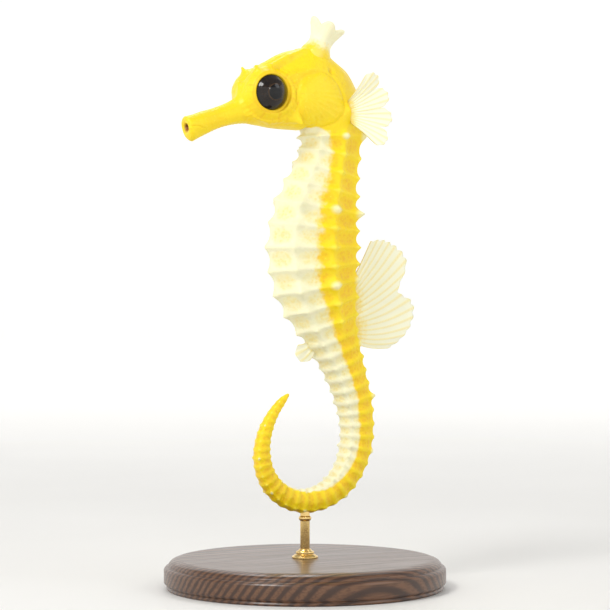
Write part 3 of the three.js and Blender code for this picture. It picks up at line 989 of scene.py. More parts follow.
    def _unwrap(self, mesh: BMesh, layers: dict[str, object]) -> None:
        """Lays the skin out for baking in three strips side by side, with the eyelids beyond them.

        Args:
            mesh: The skin's mesh.
            layers: Its vertex layers, by name.
        """
        bake = mesh.loops.layers.uv.new("OFBake")
        strips, width, inset = 3, 0.3, 0.003
        start, length = -3.0, self.body.tip + 3.0
        form = self.form
        eye = self.body.point(form.eye[0], form.eye[1], 0.0)
        for face in mesh.faces:
            lid = max(vert[layers["lid"]] for vert in face.verts)
            if lid > 0.5 and min(vert[layers["lid"]] for vert in face.verts) > 0.5:
                middle = 0.17 if lid < 1.5 else 0.5
                for corner in face.loops:
                    away = (np.array(corner.vert.co) / MM - eye) / (2.6 * form.eye_radius)
                    corner[bake].uv = (0.95 + 0.1 * away[0], middle + 0.3 * away[2])
                continue
            turns = [corner.vert[layers["turn"]] for corner in face.loops]
            wraps = max(turns) - min(turns) > 180
            mean = sum(corner.vert[layers["at"]] for corner in face.loops) / len(turns) - start
            strip = min(strips - 1, int(strips * mean / length))
            for corner, degrees in zip(face.loops, turns):
                around = (degrees + (360 if wraps and degrees < 0 else 0) + 180) / 362
                down = strips * (corner.vert[layers["at"]] - start) / length - strip
                corner[bake].uv = (width * strip + inset + (width - 2 * inset) * around, 0.004 + 0.99 * down)


def loop_edges(verts: Array) -> list[BMEdge]:
    """Finds the edges of a closed loop.

    Args:
        verts: Its vertices.

    Returns:
        The edges that join each to the next.
    """
    members = set(verts)
    joined = (edge for vert in verts for edge in vert.link_edges if edge.other_vert(vert) in members)
    return list(dict.fromkeys(joined))


@dataclass
class EyeOpening:
    """The opening for one eye in the skin's turret, with its round lid.

    Attributes:
        skin: The skin it is cut in.
        side: -1 for the animal's left and 1 for its right.
        cut_radius: The radius of the hole that the lid fills, in millimetres.
        margin: How far past that the skin is evened out.
        waves: How many waves round the eye the hole's edge may have.
        evenings: Passes that space the edge's vertices evenly.
        smoothings: Passes that even out the skin round it.
        back: How far out from the middle plane the socket's back is.
        lid: The lid's profile, as distances from the eye's axis and out from the middle plane.
        axis: A place on the eye's axis, in metres.
        edge: The weights of the waves.
    """

    skin: Skin
    side: int
    cut_radius: float = 4.13
    margin: float = 0.8
    waves: int = 3
    evenings: int = 60
    smoothings: int = 5
    back: float = 3.4
    lid: tuple[Pair, ...] = (
        (4.05, 4.42), (3.96, 4.53), (3.85, 4.61), (3.74, 4.66), (3.64, 4.66), (3.55, 4.61),
        (3.48, 4.52), (3.43, 4.40), (3.33, 4.15), (2.84, 3.70), (1.75, 3.50),
    )
    axis: Array = field(init=False)
    edge: Array = field(init=False)

    def cut(self, mesh: BMesh, lid_layer: object) -> None:
        """Cuts the opening and turns its edge in over the eyeball.

        Args:
            mesh: The skin's mesh.
            lid_layer: The vertex layer that marks each side's lid.
        """
        eye = self.skin.form.eye
        self.axis = self.skin.body.point(eye[0], eye[1], 0.0) * MM
        bmesh.ops.delete(mesh, geom=self._near(mesh, self.cut_radius), context="VERTS")
        around = set(self._near(mesh, self.cut_radius + 1))
        rim = [edge for edge in mesh.edges if edge.is_boundary and edge.verts[0] in around]
        loop = ordered(rim)
        turns = np.unwrap([self._turn(vert) for vert in loop])
        heights = np.array([abs(vert.co.y) / MM for vert in loop])
        self.edge = np.linalg.lstsq(self._waves(turns), heights, rcond=None)[0]
        way = math.copysign(2 * np.pi, turns[-1] - turns[0])
        for _ in range(self.evenings):
            before = np.append(turns[-1] - way, turns[:-1])
            after = np.append(turns[1:], turns[0] + way)
            turns = (before + 2 * turns + after) / 4
        for vert, turn, out in zip(loop, turns, self._waves(turns) @ self.edge):
            self._set(vert, turn, self.cut_radius, out)
            vert[lid_layer] = 1.0 if self.side < 0 else 2.0
        band = [vert for vert in self._near(mesh, self.cut_radius + self.margin) if vert not in set(loop)]
        every_way = {"use_axis_x": True, "use_axis_y": True, "use_axis_z": True}
        for _ in range(self.smoothings):
            bmesh.ops.smooth_vert(mesh, verts=band, factor=0.5, **every_way)
        self._turn_in(mesh, rim)

    def _turn_in(self, mesh: BMesh, edges: list[BMEdge]) -> None:
        """Extrudes the lid from the hole's edge and closes the socket behind the eyeball.

        Args:
            mesh: The skin's mesh.
            edges: The hole's edge.
        """
        for step, (radius, height) in enumerate(self.lid):
            made = bmesh.ops.extrude_edge_only(mesh, edges=edges)["geom"]
            edges = [item for item in made if isinstance(item, BMEdge)]
            blend = float(smoothstep(step, -1.5, 2.5))
            for vert in (item for item in made if isinstance(item, BMVert)):
                turn = self._turn(vert)
                out = float(self._waves(turn) @ self.edge)
                self._set(vert, turn, radius, out + (height - out) * blend)
        inner = list(dict.fromkeys(vert for edge in edges for vert in edge.verts))
        back = Vector((self.axis[0], self.side * self.back * MM, self.axis[2]))
        bmesh.ops.pointmerge(mesh, verts=inner, merge_co=back)

    def _near(self, mesh: BMesh, radius: float) -> list[BMVert]:
        """The vertices on the eye's side within a radius of its axis, in millimetres."""
        middle = Vector((self.axis[0], self.axis[2]))
        return [v for v in mesh.verts if v.co.y * self.side > 0 and (v.co.xz - middle).length < radius * MM]

    def _turn(self, vert: BMVert) -> float:
        """A vertex's angle round the eye's axis."""
        return math.atan2(vert.co.z - self.axis[2], vert.co.x - self.axis[0])

    def _set(self, vert: BMVert, turn: float, radius: float, out: float) -> None:
        """Puts a vertex at an angle and distance round the eye's axis, and out from the middle plane."""
        x, z = self.axis[0] + radius * MM * math.cos(turn), self.axis[2] + radius * MM * math.sin(turn)
        vert.co = (x, self.side * out * MM, z)

    def _waves(self, turn: Array | float) -> Array:
        """Slow waves round the eye at given angles, with a constant first, along the last axis."""
        turns = np.asarray(turn)[..., None] * np.arange(1, self.waves + 1)
        return np.concatenate([np.ones_like(turns[..., :1]), np.cos(turns), np.sin(turns)], axis=-1)


def ordered(edges: list[BMEdge]) -> list[BMVert]:
    """Follows a closed chain of edges.

    Args:
        edges: The edges, in any order.

    Returns:
        Their vertices, in order.
    """
    chain = list(edges[0].verts)
    members = set(edges)
    while True:
        last, before = chain[-1], chain[-2]
        ahead = (edge.other_vert(last) for edge in last.link_edges if edge in members)
        following = next(vert for vert in ahead if vert is not before)
        if following is chain[0]:
            return chain
        chain.append(following)


# ---- finishes


class Wiring:
    """Lays the nodes of one shader or node group.

    Attributes:
        tree: The node tree that they go in.
        end: The node that takes their results.
    """

    def __init__(self, tree: NodeTree, end: Node) -> None:
        """Starts with a tree, which keeps its own nodes, and the node where it ends."""
        self.tree = tree
        self.end = end

    def node(self, kind: str, settings: dict[str, object] | None = None, **inputs: object) -> Node:
        """Adds a node.

        Args:
            kind: Its type name.
            settings: Its own properties.
            **inputs: Values or sockets for its inputs, by name, with _ in place of spaces.

        Returns:
            The node.
        """
        made = self.tree.nodes.new(kind)
        for name, value in (settings or {}).items():
            setattr(made, name, value)
        self._fill(made, inputs)
        return made

    def results(self, **inputs: object) -> None:
        """Feeds the end node, with values or sockets for its inputs."""
        self._fill(self.end, inputs)

    def _fill(self, node: Node, inputs: dict[str, object]) -> None:
        """Feeds a node's inputs by name, with _ in place of spaces."""
        for name, value in inputs.items():
            self.feed(node.inputs[name.replace("_", " ")], value)

    def feed(self, socket: NodeSocket, value: object) -> None:
        """Links a socket to another, or sets its value.

        Args:
            socket: The input to feed.
            value: A socket, a number, a vector or a colour of three shares.
        """
        if isinstance(value, NodeSocket):
            self.tree.links.new(value, socket)
        elif isinstance(value, tuple) and len(value) == 3 and socket.type == "RGBA":
            socket.default_value = (*value, 1.0)
        else:
            socket.default_value = value

    def place(self, stretch: object = (1.0, 1.0, 1.0)) -> NodeSocket:
        """Object coordinates in millimetres, multiplied by a stretch."""
        coordinates = self.node("ShaderNodeTexCoord").outputs["Object"]
        return self.vector("MULTIPLY", self.vector("SCALE", coordinates, scale=1 / MM), stretch)

    def vector(
        self, operation: str, first: object, second: object = (0.0, 0.0, 0.0), scale: float = 1.0
    ) -> NodeSocket:
        """A sum of two vectors.

        Args:
            operation: The Vector Math node's operation.
            first: A vector or a socket.
            second: The other, where the operation has one.
            scale: The factor of a SCALE.

        Returns:
            The result, a number where the operation is LENGTH.
        """
        made = self.node("ShaderNodeVectorMath", {"operation": operation})
        for socket, value in zip(made.inputs, (first, second)):
            self.feed(socket, value)
        if operation == "SCALE":
            made.inputs["Scale"].default_value = scale
        return made.outputs["Value" if operation == "LENGTH" else "Vector"]

    def attribute(self, name: str) -> NodeSocket:
        """A number that the mesh carries."""
        return self.node("ShaderNodeAttribute", {"attribute_name": name}).outputs["Fac"]

    def math(self, operation: str, first: object, second: object = 0.0) -> NodeSocket:
        """A sum of two numbers.

        Args:
            operation: The Math node's operation.
            first: A number or a socket.
            second: The other, where the operation has one.

        Returns:
            The result.
        """
        made = self.node("ShaderNodeMath", {"operation": operation})
        for socket, value in zip(made.inputs, (first, second)):
            self.feed(socket, value)
        return made.outputs[0]

    def rise(
        self, value: object, low: object, high: object, top: object = 1.0, bottom: object = 0.0
    ) -> NodeSocket:
        """A smooth rise from bottom at low to top at high, or a fall where low is above high.

        Args:
            value: What it follows.
            low: The value where it starts.
            high: The value where it ends.
            top: What it reaches.
            bottom: What it starts from.

        Returns:
            The result.
        """
        ends = {"From_Min": low, "From_Max": high, "To_Min": bottom, "To_Max": top}
        made = self.node("ShaderNodeMapRange", {"interpolation_type": "SMOOTHSTEP"}, Value=value, **ends)
        return made.outputs["Result"]

    def mix(self, share: object, first: object, second: object) -> NodeSocket:
        """One colour passing into another.

        Args:
            share: How much of the second there is.
            first: A colour or a socket.
            second: The other.

        Returns:
            The colour.
        """
        made = self.node("ShaderNodeMix", {"data_type": "RGBA"})
        for socket, value in zip((made.inputs[0], made.inputs[6], made.inputs[7]), (share, first, second)):
            self.feed(socket, value)
        return made.outputs[2]

    def noise(self, vector: object, scale: float, detail: object = 2.0, warp: float = 0.0) -> NodeSocket:
        """Cloudy noise around a half."""
        made = self.node("ShaderNodeTexNoise", Vector=vector, Scale=scale, Detail=detail, Distortion=warp)
        return made.outputs["Fac"]

    def cells(self, vector: object, scale: float, feature: str = "F1") -> NodeSocket:
        """The distance from the seed of a cell."""
        made = self.node("ShaderNodeTexVoronoi", {"feature": feature}, Vector=vector, Scale=scale)
        return made.outputs["Distance"]

    def bump(self, height: object, depth: float) -> NodeSocket:
        """A bumped normal, with the depth in millimetres."""
        return self.node("ShaderNodeBump", Height=height, Distance=depth * MM).outputs["Normal"]


class Kind(Enum):
    """The kinds of socket on a shared effect."""

    NUMBER = "NodeSocketFloat"
    VECTOR = "NodeSocketVector"
    COLOUR = "NodeSocketColor"


Plugs = tuple[tuple[str, Kind], ...]


@dataclass(frozen=True)
class Effect:
    """An effect that several finishes share: a node group, built once and placed with each one's values.

    Attributes:
        name: The group's name.
        takes: Its inputs and their kinds.
        gives: Its outputs and their kinds.
    """

    name: str = ""
    takes: Plugs = ()
    gives: Plugs = ()

    def placed(self, wiring: Wiring, **inputs: object) -> Sockets:
        """Puts the effect in a material, with values or sockets for its inputs, and gives its outputs."""
        tree = bpy.data.node_groups.get(self.name) or self._group()
        return wiring.node("ShaderNodeGroup", {"node_tree": tree}, **inputs).outputs

    def _group(self) -> NodeTree:
        """Builds the node group.

        Returns:
            Its tree, under the effect's name.
        """
        tree = bpy.data.node_groups.new(self.name, "ShaderNodeTree")
        for way, sockets in (("INPUT", self.takes), ("OUTPUT", self.gives)):
            for name, kind in sockets:
                tree.interface.new_socket(name=name, in_out=way, socket_type=kind.value)
        wiring = Wiring(tree, tree.nodes.new("NodeGroupOutput"))
        self.lay(wiring, wiring.node("NodeGroupInput").outputs)
        return tree

    def lay(self, wiring: Wiring, given: Sockets) -> None:
        """Lays the group's nodes between its inputs and its outputs."""
        raise NotImplementedError


@dataclass(frozen=True)
class RoundEye(Effect):
    """The distance from the eyes' axis in millimetres, and streaks from it as noise around a half."""

    name: str = "round_eye"
    takes: Plugs = (("Centre", Kind.VECTOR), ("Streaks", Kind.NUMBER), ("Breaks", Kind.NUMBER))
    gives: Plugs = (("Away", Kind.NUMBER), ("Streak", Kind.NUMBER))

    def lay(self, wiring: Wiring, given: Sockets) -> None:
        """Lays the group's nodes.

        Args:
            wiring: Where they go.
            given: The eye's centre in millimetres, the streaks to a full turn and the breaks to a millimetre.
        """
        offset = wiring.vector("SUBTRACT", wiring.place(), given["Centre"])
        flat = wiring.vector("MULTIPLY", offset, (1.0, 0.0, 1.0))
        away = wiring.vector("LENGTH", flat)
        upright = wiring.node("ShaderNodeMapping", Vector=flat, Rotation=(math.pi / 2, 0.0, 0.0))
        radial = {"gradient_type": "RADIAL"}
        turn = wiring.node("ShaderNodeTexGradient", radial, Vector=upright.outputs["Vector"]).outputs["Fac"]
        across = wiring.math("MULTIPLY", turn, given["Streaks"])
        along = wiring.math("MULTIPLY", away, given["Breaks"])
        spun = wiring.node("ShaderNodeCombineXYZ", X=across, Y=along).outputs["Vector"]
        wiring.results(Away=away, Streak=wiring.noise(spun, 1.0, 2.5, 0.2))


@dataclass(frozen=True)
class Grain(Effect):
    """Fine unevenness, with so many bumps to a millimetre each way, and the roughness that goes with it."""

    name: str = "grain"
    takes: Plugs = (
        ("Stretch", Kind.VECTOR), ("Detail", Kind.NUMBER), ("Smooth", Kind.NUMBER), ("Rough", Kind.NUMBER),
    )
    gives: Plugs = (("Grain", Kind.NUMBER), ("Roughness", Kind.NUMBER))

    def lay(self, wiring: Wiring, given: Sockets) -> None:
        """Lays noise around a half, and spreads the roughness over it from smooth to rough."""
        grain = wiring.noise(wiring.place(given["Stretch"]), 1.0, given["Detail"])
        wiring.results(Grain=grain, Roughness=wiring.rise(grain, 0.3, 0.7, given["Rough"], given["Smooth"]))


@dataclass(frozen=True)
class Relief(Effect):
    """Painted shade in the hollows of bony skin, dappled by small scales, and a painted highlight on its
    crests.
    """

    name: str = "relief"
    # Hollow Colour is the painted shade's colour and Crest Colour the painted highlight's.
    takes: Plugs = (
        ("Colour", Kind.COLOUR), ("Hollow Colour", Kind.COLOUR), ("Crest Colour", Kind.COLOUR),
        ("Level", Kind.NUMBER), ("Grain", Kind.NUMBER),
    )
    gives: Plugs = (("Colour", Kind.COLOUR), ("Scales", Kind.NUMBER))

    def lay(self, wiring: Wiring, given: Sockets) -> None:
        """Lays the group's nodes.

        Args:
            wiring: Where they go.
            given: The three colours, the level from 0 in the hollows to 1 on the crests, and the grain.
        """
        scales = wiring.cells(wiring.place(), 1.7, "SMOOTH_F1")
        uneven_level = wiring.math("MULTIPLY", wiring.math("SUBTRACT", given["Grain"], 0.5), 0.3)
        raised = wiring.math("ADD", given["Level"], uneven_level)
        dapple = wiring.rise(scales, 0.55, 0.2, 0.85, 0.4)
        # Painted shade: the hollows are darkened towards the hollow colour, dappled by the scales.
        hollow = wiring.math("MULTIPLY", wiring.rise(raised, 0.42, 0.05), dapple)
        colour = wiring.mix(hollow, given["Colour"], given["Hollow Colour"])
        # Painted highlight: the crests are lightened towards the crest colour.
        colour = wiring.mix(wiring.rise(raised, 0.62, 1.0, 0.75), colour, given["Crest Colour"])
        wiring.results(Colour=colour, Scales=scales)


@dataclass(frozen=True)
class Finish:
    """What every finish has: a name, and a Principled shader that its colour, roughness and bump feed.

    Attributes:
        name: The material's name.
    """

    name: str = "finish"

    def material(self) -> Material:
        """Makes the material.

        Returns:
            It, with its nodes laid.
        """
        made = bpy.data.materials.new(self.name)
        made.use_nodes = True
        self.lay(Wiring(made.node_tree, made.node_tree.nodes["Principled BSDF"]))
        return made

    def lay(self, wiring: Wiring) -> None:
        """Lays the nodes that feed the shader, where the wiring ends."""
        raise NotImplementedError


@dataclass(frozen=True)
class SkinFinish(Finish):
    """Yellow skin over bony rings, cream on the belly and on the tips of the large knobs.

    Attributes:
        eye: The eye's centre in millimetres, whose side doesn't matter.
        yellow: The ground colour.
        pale: The colour of the painted highlight on the crests, and of the specks.
        ochre: The colour of the painted shade in the hollows, and of the lines round the eye and the lids.
        amber: The colour of the broad mottling.
        cream: The belly's colour.
        shade: The colour of the painted shade in the belly's hollows.
        gullet: The colour inside the mouth, partly its own reddish colour and partly painted shade.
    """

    name: str = "seahorse_skin"
    eye: Triple = (0.0, 0.0, 0.0)
    yellow: Triple = (0.97, 0.72, 0.004)
    pale: Triple = (0.98, 0.82, 0.07)
    ochre: Triple = (0.89, 0.51, 0.004)
    amber: Triple = (0.95, 0.64, 0.003)
    cream: Triple = (0.89, 0.86, 0.58)
    shade: Triple = (0.87, 0.74, 0.28)
    gullet: Triple = (0.30, 0.09, 0.02)

    def lay(self, wiring: Wiring) -> None:
        """Lays the skin's nodes.

        Args:
            wiring: Where they go.
        """
        place = wiring.place()
        clouds = wiring.noise(place, 0.16, 3.0, 0.4)
        grain = Grain().placed(wiring, Stretch=(1.3, 1.3, 1.3), Detail=4.0, Smooth=0.36, Rough=0.5)
        shared = {"Level": wiring.attribute("level"), "Grain": grain["Grain"]}
        ground = wiring.mix(wiring.rise(clouds, 0.48, 0.66, 0.55), self.yellow, self.amber)
        # Painted shade in the hollows and a painted highlight on the crests, for the yellow back and for the
        # cream belly.
        back = Relief().placed(
            wiring, Colour=ground, Hollow_Colour=self.ochre, Crest_Colour=self.pale, **shared
        )
        belly = Relief().placed(
            wiring, Colour=self.cream, Hollow_Colour=self.shade, Crest_Colour=self.cream, **shared
        )
        specks = wiring.math(
            "MULTIPLY", wiring.rise(wiring.cells(place, 1.1), 0.2, 0.12), wiring.rise(clouds, 0.5, 0.6, 0.5)
        )
        colour = wiring.mix(specks, back["Colour"], self.pale)
        ragged = wiring.math("MULTIPLY", wiring.math("SUBTRACT", wiring.noise(place, 0.55, 4.0), 0.5), 26.0)
        cream_side = wiring.rise(wiring.math("ADD", wiring.attribute("cream"), ragged), -5.0, 6.0)
        colour = wiring.mix(cream_side, colour, belly["Colour"])
        colour = wiring.mix(wiring.rise(wiring.attribute("tip"), 0.25, 0.85, 0.8), colour, self.cream)
        colour = wiring.mix(self._eye_lines(wiring), colour, self.ochre)
        colour = wiring.mix(wiring.rise(wiring.attribute("lid"), 0.4, 1.0, 0.45), colour, self.ochre)
        # Inside the mouth the colour turns dark reddish brown deeper in: partly its own colour, partly
        # painted shade.
        colour = wiring.mix(wiring.rise(wiring.attribute("at"), -1.45, -2.3), colour, self.gullet)
        fine = wiring.math("ADD", grain["Grain"], wiring.noise(place, 5.0, 3.0))
        scales = wiring.math("MULTIPLY", back["Scales"], 0.8)
        height = wiring.math("SUBTRACT", wiring.math("MULTIPLY", fine, 0.5), scales)
        wiring.results(
            Base_Color=colour,
            Roughness=grain["Roughness"],
            Normal=wiring.bump(height, 0.13),
            Subsurface_Weight=0.1,
            Subsurface_Radius=(1.0, 0.75, 0.2),
            Subsurface_Scale=0.6 * MM,
            Coat_Weight=0.18,
            Coat_Roughness=0.28,
            IOR=1.42,
        )

    def _eye_lines(self, wiring: Wiring) -> NodeSocket:
        """Fine broken lines that spread from the eye over the side of the head.

        Args:
            wiring: Where the nodes go.

        Returns:
            Their mask.
        """
        eye = RoundEye().placed(wiring, Centre=self.eye, Streaks=44.0, Breaks=0.35)
        across = wiring.node("ShaderNodeSeparateXYZ", Vector=wiring.place()).outputs["Y"]
        sideways = wiring.rise(wiring.math("ABSOLUTE", across), 2.2, 3.6)
        band = wiring.math("MULTIPLY", wiring.rise(eye["Away"], 3.6, 4.5), wiring.rise(eye["Away"], 8.5, 4.9))
        lines = wiring.math("MULTIPLY", wiring.rise(eye["Streak"], 0.54, 0.66, 0.5), band)
        return wiring.math("MULTIPLY", lines, sideways)


@dataclass(frozen=True)
class EyeFinish(Finish):
    """A wet, near-black eye with a dark brown iris and a thin dull golden ring round the pupil.

    Attributes:
        centre: The eye's centre in millimetres, whose side doesn't matter.
        pupil: The pupil's radius in millimetres.
        iris: The iris's radius.
        rim: Where the yellow skin round the ball starts.
        black: The pupil's colour.
        browns: The iris's darker and lighter colours.
        gold: The colour of the ring.
        skin: The colour round the ball.
    """

    name: str = "seahorse_eye"
    centre: Triple = (0.0, 0.0, 0.0)
    pupil: float = 1.45
    iris: float = 2.98
    rim: float = 3.5
    black: Triple = (0.002, 0.002, 0.003)
    browns: tuple[Triple, ...] = ((0.006, 0.004, 0.004), (0.022, 0.012, 0.006))
    gold: Triple = (0.2, 0.1, 0.03)
    skin: Triple = (0.35, 0.17, 0.01)

    def lay(self, wiring: Wiring) -> None:
        """Lays the eye's nodes.

        Args:
            wiring: Where they go.
        """
        eye = RoundEye().placed(wiring, Centre=self.centre, Streaks=90.0, Breaks=1.0)
        away, pupil = eye["Away"], self.pupil
        brown = wiring.mix(wiring.rise(eye["Streak"], 0.35, 0.7), *self.browns)
        inner = wiring.rise(away, pupil, pupil + 0.08, 0.2)
        ring = wiring.math("MULTIPLY", inner, wiring.rise(away, pupil + 0.34, pupil + 0.1))
        colour = wiring.mix(wiring.rise(away, pupil - 0.05, pupil + 0.05), self.black, brown)
        colour = wiring.mix(ring, colour, self.gold)
        colour = wiring.mix(wiring.rise(away, self.iris - 0.1, self.iris + 0.15), colour, self.browns[0])
        colour = wiring.mix(wiring.rise(away, self.rim - 0.1, self.rim + 0.1), colour, self.skin)
        wiring.results(
            Base_Color=colour,
            Roughness=wiring.rise(away, 0.5, 3.6, 0.22),
            Normal=wiring.bump(wiring.noise(wiring.place(), 1.2), 0.01),
            Coat_Weight=0.6,
            Coat_Roughness=0.02,
            IOR=1.4,
            Specular_IOR_Level=0.2,
        )


@dataclass(frozen=True)
class HornFinish(Finish):
    """Cream bone, yellow at the foot, with fine grain, pits and painted shade between the points: the crown's
    finish.

    Attributes:
        cream: The colour of the points.
        yellow: The colour of the foot.
        hollow: The colour of the painted shade between the points and in the cup, which the pits take as
            well.
    """

    name: str = "cream_bone"
    cream: Triple = (0.91, 0.88, 0.61)
    yellow: Triple = (0.96, 0.70, 0.01)
    hollow: Triple = (0.85, 0.64, 0.22)

    def lay(self, wiring: Wiring) -> None:
        """Lays the crown's nodes.

        Args:
            wiring: Where they go.
        """
        place = wiring.place()
        grain = Grain().placed(wiring, Stretch=(1.8, 1.8, 1.8), Detail=4.0, Smooth=0.38, Rough=0.53)
        rise = wiring.math("ADD", wiring.attribute("reach"), wiring.math("MULTIPLY", grain["Grain"], 0.3))
        ground = wiring.mix(wiring.rise(rise, 0.18, 0.62), self.yellow, self.cream)
        shape = {"Level": wiring.attribute("level"), "Grain": grain["Grain"]}
        colours = {"Colour": ground, "Hollow_Colour": self.hollow, "Crest_Colour": self.cream}
        # Painted shade in the cup and between the points, and a painted highlight on the points.
        colour = Relief().placed(wiring, **colours, **shape)["Colour"]
        colour = wiring.mix(wiring.rise(rise, 0.5, 0.2, 0.8), colour, ground)
        pits = wiring.rise(wiring.cells(place, 2.2), 0.22, 0.1, 0.4)
        # The pits take the same colour as the painted shade.
        colour = wiring.mix(pits, colour, self.hollow)
        height = wiring.math("SUBTRACT", wiring.noise(place, 4.0, 3.0), pits)
        wiring.results(
            Base_Color=colour,
            Roughness=grain["Roughness"],
            Normal=wiring.bump(height, 0.06),
            Coat_Weight=0.1,
            Subsurface_Weight=0.12,
            Subsurface_Radius=(1.0, 0.8, 0.4),
            Subsurface_Scale=0.7 * MM,
        )


@dataclass(frozen=True)
class FinFinish(Finish):
    """A cream membrane over pale yellow, jointed rays.

    Attributes:
        membrane: The colour between the rays.
        ray: The colour of the rays.
        joint: The colour of their joints.
        root: The colour at the fin's root.
        joints: How many joints a ray has.
    """

    name: str = "cream_fin"
    membrane: Triple = (0.93, 0.91, 0.68)
    ray: Triple = (0.93, 0.82, 0.42)
    joint: Triple = (0.80, 0.60, 0.22)
    root: Triple = (0.92, 0.66, 0.06)
    joints: float = 22.0

    def lay(self, wiring: Wiring) -> None:
        """Lays the fin's nodes.

        Args:
            wiring: Where they go.
        """
        reach, ray = wiring.attribute("reach"), wiring.attribute("level")
        grain = Grain().placed(wiring, Stretch=(1.6, 1.6, 1.6), Detail=3.0, Smooth=0.34, Rough=0.49)
        colour = wiring.mix(wiring.rise(ray, 0.2, 0.9, 0.75), self.membrane, self.ray)
        saw = wiring.math("FRACT", wiring.math("MULTIPLY", reach, self.joints))
        joints = wiring.math("MULTIPLY", saw, ray)
        colour = wiring.mix(wiring.rise(joints, 0.72, 0.9, 0.45), colour, self.joint)
        ragged = wiring.math("MULTIPLY", wiring.math("SUBTRACT", grain["Grain"], 0.5), 0.25)
        near_root = wiring.rise(wiring.math("ADD", reach, ragged), 0.34, 0.05, 0.9)
        colour = wiring.mix(near_root, colour, self.root)
        height = wiring.math("ADD", wiring.noise(wiring.place(), 5.0), wiring.math("MULTIPLY", joints, 0.5))
        wiring.results(
            Base_Color=colour,
            Roughness=grain["Roughness"],
            Normal=wiring.bump(height, 0.03),
            Coat_Weight=0.12,
            Subsurface_Weight=0.3,
            Subsurface_Radius=(1.0, 0.9, 0.5),
            Subsurface_Scale=0.8 * MM,
        )


@dataclass(frozen=True)
class WalnutFinish(Finish):
    """Dark walnut with a satin lacquer.

    Attributes:
        light: The colour of the early wood.
        dark: The colour of the late wood.
        pore: The colour in its pores.
        heart: The middle of its growth rings, in millimetres.
    """

    name: str = "walnut"
    light: Triple = (0.155, 0.068, 0.03)
    dark: Triple = (0.045, 0.018, 0.009)
    pore: Triple = (0.012, 0.006, 0.004)
    heart: Triple = (0.0, 31.0, 46.0)

    def lay(self, wiring: Wiring) -> None:
        """Lays the wood's nodes.

        Args:
            wiring: Where they go.
        """
        from_heart = wiring.vector("SUBTRACT", wiring.place(), self.heart)
        stretched = wiring.vector("MULTIPLY", from_heart, (0.04, 1.0, 0.8))
        growth = wiring.node(
            "ShaderNodeTexWave",
            {"wave_type": "RINGS", "rings_direction": "X", "wave_profile": "SIN"},
            Vector=stretched,
            Scale=0.26,
            Distortion=3.2,
            Detail=4.0,
            Detail_Scale=0.5,
            Detail_Roughness=0.65,
        )
        fibres = Grain().placed(wiring, Stretch=(0.06, 3.4, 3.4), Detail=5.0, Smooth=0.3, Rough=0.46)
        colour = wiring.mix(wiring.rise(growth.outputs["Fac"], 0.1, 0.95), self.light, self.dark)
        colour = wiring.mix(wiring.rise(fibres["Grain"], 0.42, 0.7, 0.55), colour, self.dark)
        pores = wiring.rise(wiring.cells(wiring.place((0.18, 3.0, 3.0)), 1.0), 0.2, 0.1)
        colour = wiring.mix(wiring.math("MULTIPLY", pores, 0.7), colour, self.pore)
        height = wiring.math("SUBTRACT", wiring.math("MULTIPLY", fibres["Grain"], 0.5), pores)
        wiring.results(
            Base_Color=colour,
            Roughness=fibres["Roughness"],
            Normal=wiring.bump(height, 0.02),
            Coat_Weight=0.35,
            Coat_Roughness=0.18,
        )


@dataclass(frozen=True)
class BrassFinish(Finish):
    """Turned brass, polished, with fine tool marks round it and a light tarnish.

    Attributes:
        bright: The colour where it is clean.
        dull: The colour where it has tarnished.
    """

    name: str = "brass"
    bright: Triple = (0.86, 0.62, 0.25)
    dull: Triple = (0.58, 0.36, 0.11)

    def lay(self, wiring: Wiring) -> None:
        """Lays the brass's nodes.

        Args:
            wiring: Where they go.
        """
        clouds = wiring.noise(wiring.place(), 0.9, 5.0, 0.6)
        marks = Grain().placed(wiring, Stretch=(0.05, 0.05, 14.0), Detail=2.0, Smooth=0.16, Rough=0.26)
        colour = wiring.mix(wiring.rise(clouds, 0.45, 0.75, 0.7), self.bright, self.dull)
        rough = wiring.math("ADD", marks["Roughness"], wiring.rise(clouds, 0.4, 0.8, 0.16))
        normal = wiring.bump(marks["Grain"], 0.006)
        wiring.results(Base_Color=colour, Roughness=rough, Normal=normal, Metallic=1.0)


@dataclass(frozen=True)
class FloorFinish(Finish):
    """A plain pale matt floor with a painted glow that grows away from the model, as a studio's backdrop is
    lit.

    Attributes:
        colours: The two colours that it clouds between.
        light: The colour of the painted glow.
        glow: How bright the painted glow is far from the model.
        glow_between: The distances from the model where it starts and where it is whole, in millimetres.
    """

    name: str = "pale_floor"
    colours: tuple[Triple, ...] = ((0.82, 0.815, 0.80), (0.84, 0.835, 0.82))
    light: Triple = (1.0, 0.995, 0.985)
    glow: float = 0.42
    glow_between: Pair = (150.0, 750.0)

    def lay(self, wiring: Wiring) -> None:
        """Lays the floor's nodes.

        Args:
            wiring: Where they go.
        """
        place = wiring.place()
        # Painted light: the floor glows from nothing near the model to full strength far from it.
        painted_glow = wiring.rise(wiring.vector("LENGTH", place), *self.glow_between)
        light = wiring.mix(painted_glow, (0.0, 0.0, 0.0), self.light)
        colour = wiring.mix(wiring.rise(wiring.noise(place, 0.01, 3.0), 0.3, 0.7), *self.colours)
        wiring.results(Base_Color=colour, Emission_Color=light, Roughness=0.7, Emission_Strength=self.glow)


# ---- crown, eyes and fins


def frame_of(axis: Array, across: Array) -> Array:
    """Three perpendicular directions to place a spun shape by.

    Args:
        axis: The direction of the last.
        across: The direction that the first is as near to as it can be.

    Returns:
        The three unit directions, one to a row.
    """
    third = unit(axis)
    first = unit(across - (across @ third) * third)
    return np.stack([first, np.cross(third, first), third])


